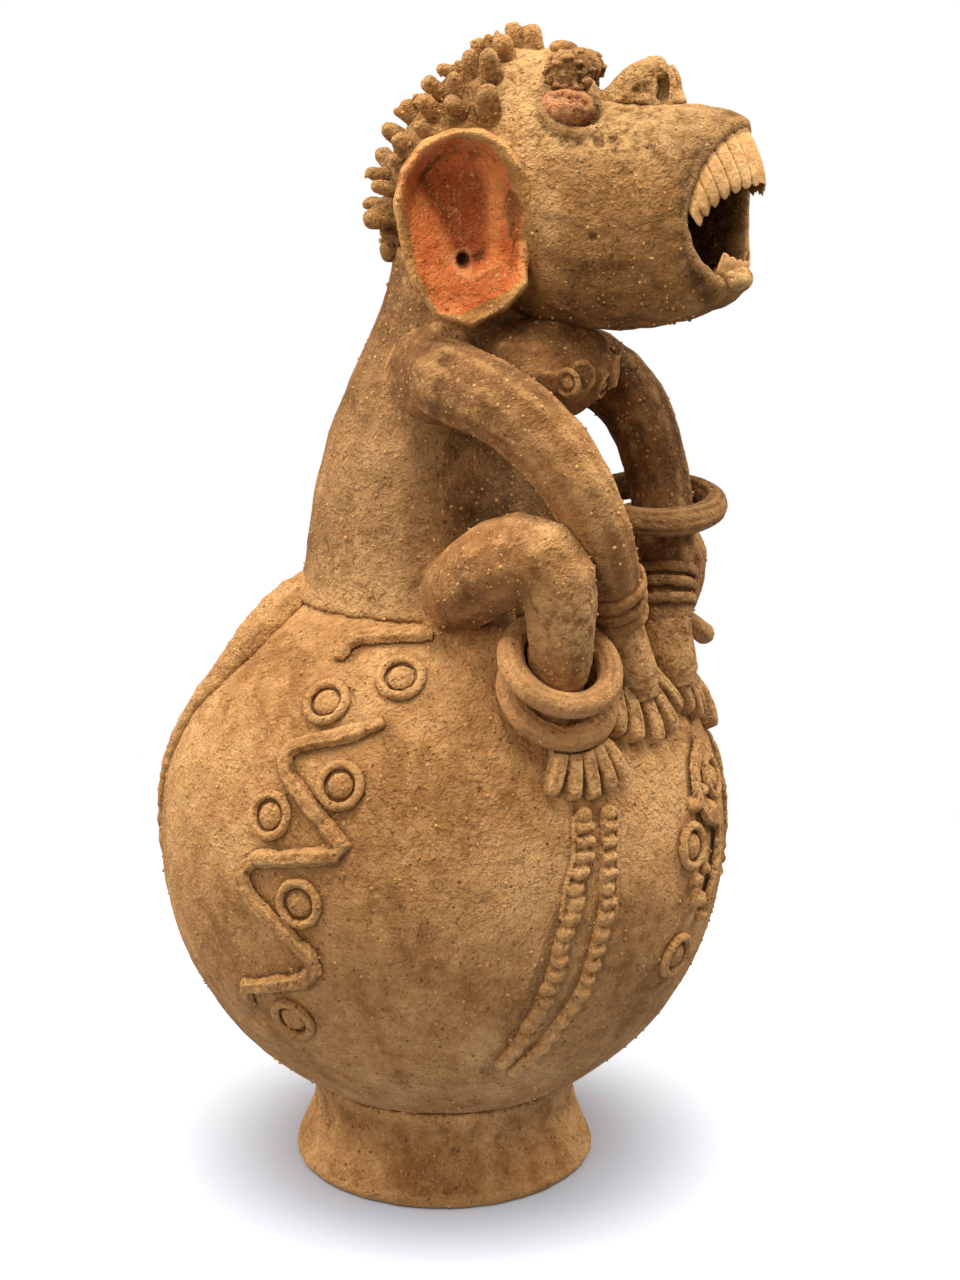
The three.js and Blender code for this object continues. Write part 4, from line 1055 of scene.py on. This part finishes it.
for side in (-1, 1):
    node = "ear_right" if side < 0 else "ear_left"
    ear = copy_of(node, node + "_skin")
    remesh(ear, 0.7, 8)
    swell(ear, 0.3)
    out = ear_out(side)
    place, facing = read(ear.data), read(ear.data, "normal") @ numpy.array(out)
    for i, spot in enumerate(place):
        u, v, depth = ear_frame(Vector(spot), side)
        rim = math.hypot(u / 22.5, v / 32.5)
        move = -5.2 * ramp(-u, 9, 19) * ramp(v, -20, -8) * ramp(-v, -22, -12)
        if facing[i] > 0.05 and rim < 1:
            share = ramp(rim, 0.97, 0.74) * ramp(facing[i], 0.05, 0.4)
            move += (min(1.5, dish_depth(u, v)) - depth) * share
        place[i] = spot + numpy.array(out) * move * MM
    write(ear.data, place)
    soften(ear, 1)
    lute(ear, ["head"], 6, 2.0)
    lumps(ear, (9, 0.9), (3, 0.35))
    mark_by(ear, "pigment", lambda vertex: pigment_at(vertex, side))
    # Painted shade: the red darkens deeper in the dish
    mark_by(ear, "deep", lambda vertex: 0.8 * ramp(-ear_frame(vertex.co, side)[2], 5.5, 9.5))
    # Painted shade on the back of the ear, where it meets the head
    mark_by(ear, "soot_and_painted_shade", lambda vertex: 0.9 * ramp(-ear_frame(vertex.co, side)[2], 11, 13.5)
            * ramp(vertex.normal.dot(ear_out(side)), -0.3, 0.0))
    stand_in(ear, [node], EAR_CLAY, depth=0.35, beside=["head"])



def pigment_on_head(vertex):
    """The ear's red earth runs out onto the cheek in front of the dish."""
    side = -1 if head_frame(vertex.co).x < 0 else 1
    return pigment_at(vertex, side) if abs(ear_frame(vertex.co, side)[2]) < 14 else 0


mark_by(head, "pigment", pigment_on_head)
mark_by(head, "soot_and_painted_shade", soot_and_shade_on_head)
mark_by(head, "dust_and_painted_highlight", dust_and_highlight_on_head)
stand_in(head, ["head"], HEAD_CLAY, depth=0.35, beside=["ear_right", "ear_left", "nose", "torso"])

# Hair: the pixels of each tuft's root and tip, and its width in pixels

TUFTS = [
    (534, 42, 530, 19, 20), (517, 44, 511, 18, 17), (504, 57, 501, 31, 20), (489, 44, 487, 32, 10),
    (481, 47, 474, 35, 16), (472, 75, 468, 46, 17), (492, 78, 486, 46, 19), (455, 74, 435, 66, 13),
    (459, 66, 456, 60, 8), (457, 94, 452, 70, 15), (440, 95, 422, 76, 18), (410, 116, 402, 97, 15),
    (435, 114, 417, 94, 18), (462, 113, 445, 97, 17), (488, 112, 487, 82, 22), (398, 116, 391, 108, 10),
    (396, 138, 380, 123, 18), (406, 152, 394, 131, 18), (430, 136, 414, 122, 14), (392, 165, 376, 149, 17),
    (402, 166, 390, 152, 14), (385, 176, 365, 172, 14), (395, 190, 368, 184, 14), (385, 205, 366, 203, 12),
    (392, 215, 359, 222, 22), (395, 235, 377, 228, 14), (400, 250, 375, 254, 22), (413, 100, 413, 92, 9),
    (497, 36, 497, 28, 8), (388, 242, 377, 242, 8),
]
TUFT_RISE = 9.5  # how far a tuft stands out from the head, in millimetres
TUFT_LONGEST = 15
TUFT_TAPER = (1.35, 1.15, 1, 0.92, 0.55)  # half width from below the root to the tip
INWARD = Vector((505, 150))  # a pixel well inside the head
PIXELS_PER_MM = 2.75


def root_of(px, py):
    """The root of a tuft on the skull. A sight line that misses is moved towards the head."""
    spot = Vector((px, py))
    for _ in range(30):
        root, normal, _, _ = skull_tree.ray_cast(EYE_POINT, ray(*spot))
        if root is not None:
            return root, normal
        spot = spot + (INWARD - spot).normalized() * 1.5
    return None, None


parts = []
for x0, y0, x1, y1, wide in TUFTS:
    root, normal = root_of(x0, y0)
    if root is None:
        continue
    half = wide / 2 / PIXELS_PER_MM
    tip = at_depth_of(root + normal * TUFT_RISE * MM, x1, y1)
    reach = min(TUFT_LONGEST, (tip - root).length / MM) - half * 0.5
    tip = root + (tip - root).normalized() * reach * MM
    ends = [(root, tip)]
    if head_frame(root).x < -6:
        ends.append((mirrored(root), mirrored(tip)))
    for start, stop in ends:
        way = (stop - start).normalized()
        knots = [start - way * 2.5 * MM, start, start.lerp(stop, 0.5), start.lerp(stop, 0.85), stop]
        parts.append(coil("tuft", knots, [half * share for share in TUFT_TAPER], resolution=4))
hair = join("hair_tufts", parts)
remesh(hair, 0.65, 3)
lumps(hair, (5, 0.9), (2.2, 0.35))
# Painted shade on the hair close to the skull, between the tufts
mark_by(hair, "soot_and_painted_shade", lambda vertex: 0.45 * ramp(skull_tree.find_nearest(vertex.co)[3] / MM, 5, 1))
stand_in(hair, [], HEAD_CLAY, depth=0.3)

# Nose, eyes and brows

# Pixels of the nose's parts, each with its x in the head and then a radius where there is one
NOSE_TOP = (655, 70, 0)
NOSE_SLOPE = [(610, 104, 0, 4.5), (627, 88, 0, 5.5), (644, 74, 0, 5.2), (655, 69, 0, 4.6)]
NOSE_RIM = [(664, 66, -3.5, 1.4), (669, 73, -3.5, 1.8), (671, 82, -3.5, 1.8), (673, 92, -3.5, 2.0),
            (673, 101, -3.5, 1.8)]
NOSE_CRUMBS = [(673, 98, -2, 2.8), (666, 104, -4, 2.2), (656, 101, -5, 2.6), (645, 98, -6, 2.4)]
NOSTRIL = [(662, 78, -6), (663, 86, -6), (662, 94, -6)]
NOSE_PIT = (636, 91, -6.4)

nose = copy_of("nose", "nose_skin")
remesh(nose, 0.6, 5)
parts = [nose, ball("top", on_head_plane(*NOSE_TOP), (5.4, 4.6, 4.8))]
slope = [on_head_plane(*knot[:3]) for knot in NOSE_SLOPE]
parts.append(coil("slope", slope, [knot[3] for knot in NOSE_SLOPE]))
for points in both_sides([on_head_plane(*knot[:3]) for knot in NOSE_RIM]):
    parts.append(coil("rim", points, [knot[3] for knot in NOSE_RIM]))
for *spot, size in NOSE_CRUMBS:
    for (middle,) in both_sides([on_head_plane(*spot)]):
        parts.append(ball("crumb", middle, (size, size, size * 0.8)))
nose = join("nose_skin", parts)
remesh(nose, 0.5, 1)
lute(nose, ["head"], 6, 2.2)
for points in both_sides(along([on_head_plane(*spot) for spot in NOSTRIL], 8)):
    press(nose, [(point, 2.5) for point in points], 3.0)
for points in both_sides([on_head_plane(*NOSE_PIT)]):
    press(nose, [(point, 2.2) for point in points], 2)
lumps(nose, (5, 0.9), (2.2, 0.4))
# Dust over the whole nose, together with painted highlight that lightens it
mark_by(nose, "dust_and_painted_highlight", lambda vertex: 0.5)
stand_in(nose, ["nose"], HEAD_CLAY, beside=["head"])

EYE_FOLD = [(556, 88), (562, 94), (571, 100), (578, 97), (584, 95), (589, 100)]
# Plates of clay on the brow: pixel, x in the head and half sizes
BROW_PLATES = [(563, 47, -14, (4.6, 4.8, 2.3)), (580, 56, -15, (4.4, 4.2, 2.8)), (592, 66, -14, (3, 3.4, 3))]
BROW_SIZE = (7.2, 8.2, 8.0)
crumbly = random.Random(11)
EYE_PIXEL, BROW_PIXEL = (567, 109), (571, 74)
eye_middle = at_depth_of(from_head(-22.5, -51.5, 388), *EYE_PIXEL)
brow_middle = at_depth_of(from_head(-17, -51.5, 401), *BROW_PIXEL)
for side in ("right", "left"):
    place = (lambda point: point) if side == "right" else mirrored
    eye = ball(f"eye_{side}_skin", place(eye_middle), (9.2, 9.6, 6.9), segments=40, rings=24)
    remesh(eye, 0.5, 1)
    eye_tree = tree_of(eye)
    fold = [at_depth_of(eye_middle - AHEAD * 7.5 * MM, *pixel) for pixel in EYE_FOLD]
    fold = [eye_tree.find_nearest(place(point))[0] for point in along(fold, 18)]
    press(eye, [(point, 2.4) for point in fold], 1.7)
    lumps(eye, (5, 1.2), (2, 0.6))
    # Painted shade on the lower half of the eye
    mark_by(eye, "soot_and_painted_shade",
            lambda vertex: 0.5 * ramp((vertex.co.z - eye_middle.z) / MM, 1.5, -3))
    stand_in(eye, [f"eye_{side}"], EYE_CLAY, depth=0.2)
    if side == "right":
        parts = [ball("dome", brow_middle, BROW_SIZE)]
        parts += [ball("plate", on_head_plane(*spot), size) for *spot, size in BROW_PLATES]
    else:
        parts = [copy_of("brow_left", "brow_left_skin")]
    for _ in range(48):
        way = Vector([crumbly.uniform(-1, 0.3), crumbly.uniform(-1, 1), crumbly.uniform(-0.9, 0.9)])
        way.normalize()
        spot = brow_middle + Vector([part * half for part, half in zip(way, BROW_SIZE)]) * MM
        size = crumbly.uniform(0.9, 2.1)
        if side == "left":
            spot = tree_of_nodes(["brow_left"]).find_nearest(mirrored(spot))[0]
        parts.append(ball("scab", spot, (size * 1.3, size * 1.2, size * 0.6), segments=8, rings=6))
    brow = join(f"brow_{side}_skin", parts)
    remesh(brow, 0.5, 1)
    lumps(brow, (3, 0.9))
    # Painted shade on the underside of the brow
    mark_by(brow, "soot_and_painted_shade", lambda vertex: 0.5 * ramp(vertex.co.z, 0.409, 0.402))
    stand_in(brow, [f"brow_{side}"], HEAD_CLAY, beside=["head"])

# Mouth


def tooth(angle, tip, half, thick, inset, bulge=0.0):
    """A squared rib of clay from the gum to its tip, bulging outward halfway."""
    root = near_lips(angle, inset)
    out = (near_lips(angle, inset - 1) - root).normalized()
    around = near_lips(angle + 0.01, inset) - near_lips(angle - 0.01, inset)
    root, tip_at = from_head(*root), from_head(*tip)
    turn = Matrix.Rotation(HEAD_TURN, 3, "Z")
    side, up = turn @ around.normalized(), turn @ out
    stations = []
    for t, wide, deep in ((-0.12, 0.95, 0.9), (0.25, 1, 1), (0.6, 1, 1), (1, 0.97, 0.95)):
        middle = root.lerp(tip_at, t) + up * bulge * math.sin(math.pi * max(0, t)) * MM
        stations.append((middle, side * half * wide * MM, up * thick * deep * MM))
    return bar("tooth", stations)


UPPER_COUNT = 14
LOWER_COUNT = 8
parts = []
for i in range(UPPER_COUNT):
    at = (i + 0.5) / UPPER_COUNT
    angle = math.radians(22 + 150 * at)
    root = near_lips(angle, 5.6)
    rise = math.sin(math.pi * (0.07 + 0.86 * at))
    inward = 0.95 if root.x < 12 else 0.82
    tip_height = 347.5 + 17.5 * rise + 10 * ramp(root.x, 10, 22)
    tip = Vector((root.x * inward, root.y - 2.5 - 4.5 * rise, tip_height))
    narrow = 1 - 0.15 * rise
    parts.append(tooth(angle, tip, 2.9 * narrow, 2.3, 5.4, 1.5))
teeth = join("upper_teeth_skin", parts)
remesh(teeth, 0.38, 1)
lumps(teeth, (4, 0.5))
stand_in(teeth, ["upper_teeth"], TOOTH_SLIP, depth=0.1, beside=["head"])

parts = []
for i in range(LOWER_COUNT):
    angle = math.radians(236 + 68 * (i + 0.5) / LOWER_COUNT)
    root = near_lips(angle, 5.4)
    tip = Vector((root.x * 0.96, root.y - 2.0, root.z + 5))
    parts.append(tooth(angle, tip, 1.9, 1.7, 4.8))
lower = join("lower_teeth_skin", parts)
remesh(lower, 0.38, 1)
lumps(lower, (4, 0.4))
stand_in(lower, ["lower_teeth"], TOOTH_SLIP, depth=0.14, beside=["head"])

tongue = copy_of("tongue", "tongue_skin")
TONGUE_TIP = (731, 279, -2)  # pixel, and x in the head
parts = [tongue, ball("tip", on_head_plane(*TONGUE_TIP), (10, 7, 5.5))]
tongue = join("tongue_skin", parts)
remesh(tongue, 0.6, 4)
lumps(tongue, (6, 0.7))
# Painted highlight on the tip of the tongue and painted shade at its back, inside the mouth
mark_by(tongue, "dust_and_painted_highlight", lambda vertex: 0.8 * ramp(-head_frame(vertex.co).y, 100, 106))
mark_by(tongue, "soot_and_painted_shade", lambda vertex: 0.7 * ramp(-head_frame(vertex.co).y, 100, 94))
stand_in(tongue, ["tongue"], LIMB_CLAY, beside=["head"])

# Grains of temper that stand out of the clay

bpy.ops.object.select_all(action="DESELECT")
bpy.ops.mesh.primitive_ico_sphere_add(subdivisions=1, radius=1)
grain_source = bpy.context.object
GRAIN_POINTS = numpy.array([tuple(vertex.co) for vertex in grain_source.data.vertices])
GRAIN_FACES = numpy.array([tuple(face.vertices) for face in grain_source.data.polygons])
bpy.data.objects.remove(grain_source)


def grain_spots(piece, count, keep, seed):
    """Places and directions for grains, spread over the outer faces of a piece."""
    faces = len(piece.data.polygons)
    centres = numpy.empty(faces * 3)
    normals = numpy.empty(faces * 3)
    piece.data.polygons.foreach_get("center", centres)
    piece.data.polygons.foreach_get("normal", normals)
    chosen = numpy.random.default_rng(seed).choice(faces, size=min(faces, count * 4), replace=False)
    spots = []
    for i in chosen:
        place, way = Vector(centres[3 * i:3 * i + 3]), Vector(normals[3 * i:3 * i + 3])
        if keep(place, way) and all(LOW[k] + MM < place[k] < HIGH[k] - MM for k in range(3)):
            spots.append((place, way))
        if len(spots) == count:
            break
    return spots


def away_from_axis(place, way):
    return Vector((place.x - GLOBE.x, place.y - GLOBE.y, 0)).dot(way) > 0.002


def outside_head(place, way):
    x, y, z = head_frame(place)
    top, bottom, across, _, _ = head_section(y)
    return math.hypot(x / across, (z - (top + bottom) / 2) / ((top - bottom) / 2)) > 0.9 and y > -100


def anywhere(place, way):
    return True


def clear_of_rings(place, way):
    return all(numpy.linalg.norm(off_ring(numpy.array([place]), stop)[1]) > (stop[3] + 1.8) * MM
               for stop in RING_STOPS)


SCATTER = [
    (globe, 1300, lambda place, way: (place - GLOBE).length > GLOBE_RADIUS - 2 * MM and place.z < 0.225),
    (foot, 120, away_from_axis),
    (bpy.data.objects["torso_skin"], 330, away_from_axis),
    (head, 380, outside_head),
    (bpy.data.objects["arm_right_skin"], 120, anywhere), (bpy.data.objects["arm_left_skin"], 90, anywhere),
    (bpy.data.objects["leg_right_skin"], 110, clear_of_rings),
    (bpy.data.objects["leg_left_skin"], 80, clear_of_rings),
    (hair, 160, anywhere), (pouch, 50, anywhere),
]
grainy = numpy.random.default_rng(7)
points, faces = [], []
for number, (piece, count, keep) in enumerate(SCATTER):
    for place, way in grain_spots(piece, count, keep, number):
        size = grainy.uniform(0.35, 0.75) * MM
        stretch = grainy.uniform(0.6, 1.3, 3)
        start = sum(len(group) for group in points)
        points.append(GRAIN_POINTS * stretch * size + numpy.array(place + way * size * 0.15))
        faces.append(GRAIN_FACES + start)
mesh = bpy.data.meshes.new("temper_grains")
mesh.from_pydata(numpy.concatenate(points).tolist(), [], numpy.concatenate(faces).tolist())
grains = new_piece("temper_grains", mesh)
stand_in(grains, [], GRAIN_CLAY)

# Floor, backdrop and light

bpy.ops.object.select_all(action="DESELECT")
bpy.ops.mesh.primitive_plane_add(size=6, location=(0, 0, LOW.z - 0.0003))
floor = bpy.context.object
floor.name = "floor"
# Matt white paper that fades into the white background. Away from the foot it is bright for the camera only;
# its glow fades out towards the foot, a painted contact shadow round it.
paper = bpy.data.materials.new("white_paper_sweep")
tree = new_tree(paper)
distance = add(tree, "VectorMath", {0: add(tree, "TexCoord", out="Object")}, "Value", operation="LENGTH")
seen = add(tree, "LightPath", out="Is Camera Ray")
glow_with_painted_contact_shadow = weigh(tree, distance, 0.052, 0.125, 0.6, within=seen)
white = add(tree, "BsdfDiffuse", {"Color": colour("#e4eeff")})
glow = add(tree, "Emission", {"Color": colour("#ffffff"), "Strength": glow_with_painted_contact_shadow})
lit = add(tree, "AddShader", {0: white, 1: glow})
cover = add(tree, "MixShader", {0: weigh(tree, distance, 0.22, 0.5), 1: lit, 2: add(tree, "BsdfTransparent")})
add(tree, "OutputMaterial", {"Surface": cover})
floor.data.materials.append(paper)

# The camera sees a white background, while the clay gets a soft warm light from it
world = bpy.data.worlds.new("studio")
bpy.context.scene.world = world
tree = new_tree(world)
seen = add(tree, "LightPath", out="Is Camera Ray")
tint = add(tree, "Mix", {0: seen, 6: colour("#fff0dd"), 7: colour("#ffffff")}, 2, data_type="RGBA")
sky = add(tree, "Background", {"Color": tint, "Strength": weigh(tree, seen, 0, 1, 1.0, 0.26)})
add(tree, "OutputWorld", {"Surface": sky})

off_floor = bpy.data.collections.new("lights_skip_the_floor")
off_floor.objects.link(floor)
off_floor.collection_objects[0].light_linking.link_state = "EXCLUDE"
only_floor = bpy.data.collections.new("lights_meet_the_floor")
only_floor.objects.link(floor)


def softbox(name, azimuth, rise, away, size, watts, tint, meets=off_floor):
    """A round softbox. Its azimuth runs to the right of the camera and its rise above the vessel's middle."""
    a, r = math.radians(azimuth), math.radians(rise)
    level = Vector((-AHEAD.x, -AHEAD.y, 0)).normalized()
    way = (level * math.cos(a) + RIGHT * math.sin(a)) * math.cos(r) + Vector((0, 0, math.sin(r)))
    centre = Vector((GLOBE.x, GLOBE.y, 0.21))
    data = bpy.data.lights.new(name, "AREA")
    data.shape = "DISK"
    data.size = size
    data.energy = watts
    data.color = colour(tint)[:3]
    lamp = bpy.data.objects.new(name, data)
    bpy.context.scene.collection.objects.link(lamp)
    turn = (-way).to_track_quat("-Z", "Y").to_matrix().to_4x4()
    lamp.matrix_world = Matrix.Translation(centre + way * away) @ turn
    lamp.light_linking.receiver_collection = meets


softbox("key_softbox", -104, 34, 1.3, 0.4, 18, "#fff6ea")
softbox("top_softbox", 12, 74, 1.15, 0.7, 17, "#fffaf2")
softbox("front_softbox", -22, 18, 1.5, 0.6, 8.5, "#fff1de")
softbox("rim_softbox", 112, 32, 1.3, 0.5, 15, "#fff6ea")
for side, azimuth in (("left", -90), ("right", 90), ("front", 0)):
    softbox(f"floor_softbox_{side}", azimuth, 45, 1.3, 1.2, 7, "#ffffff", only_floor)

bpy.context.scene.view_settings.view_transform = "Standard"
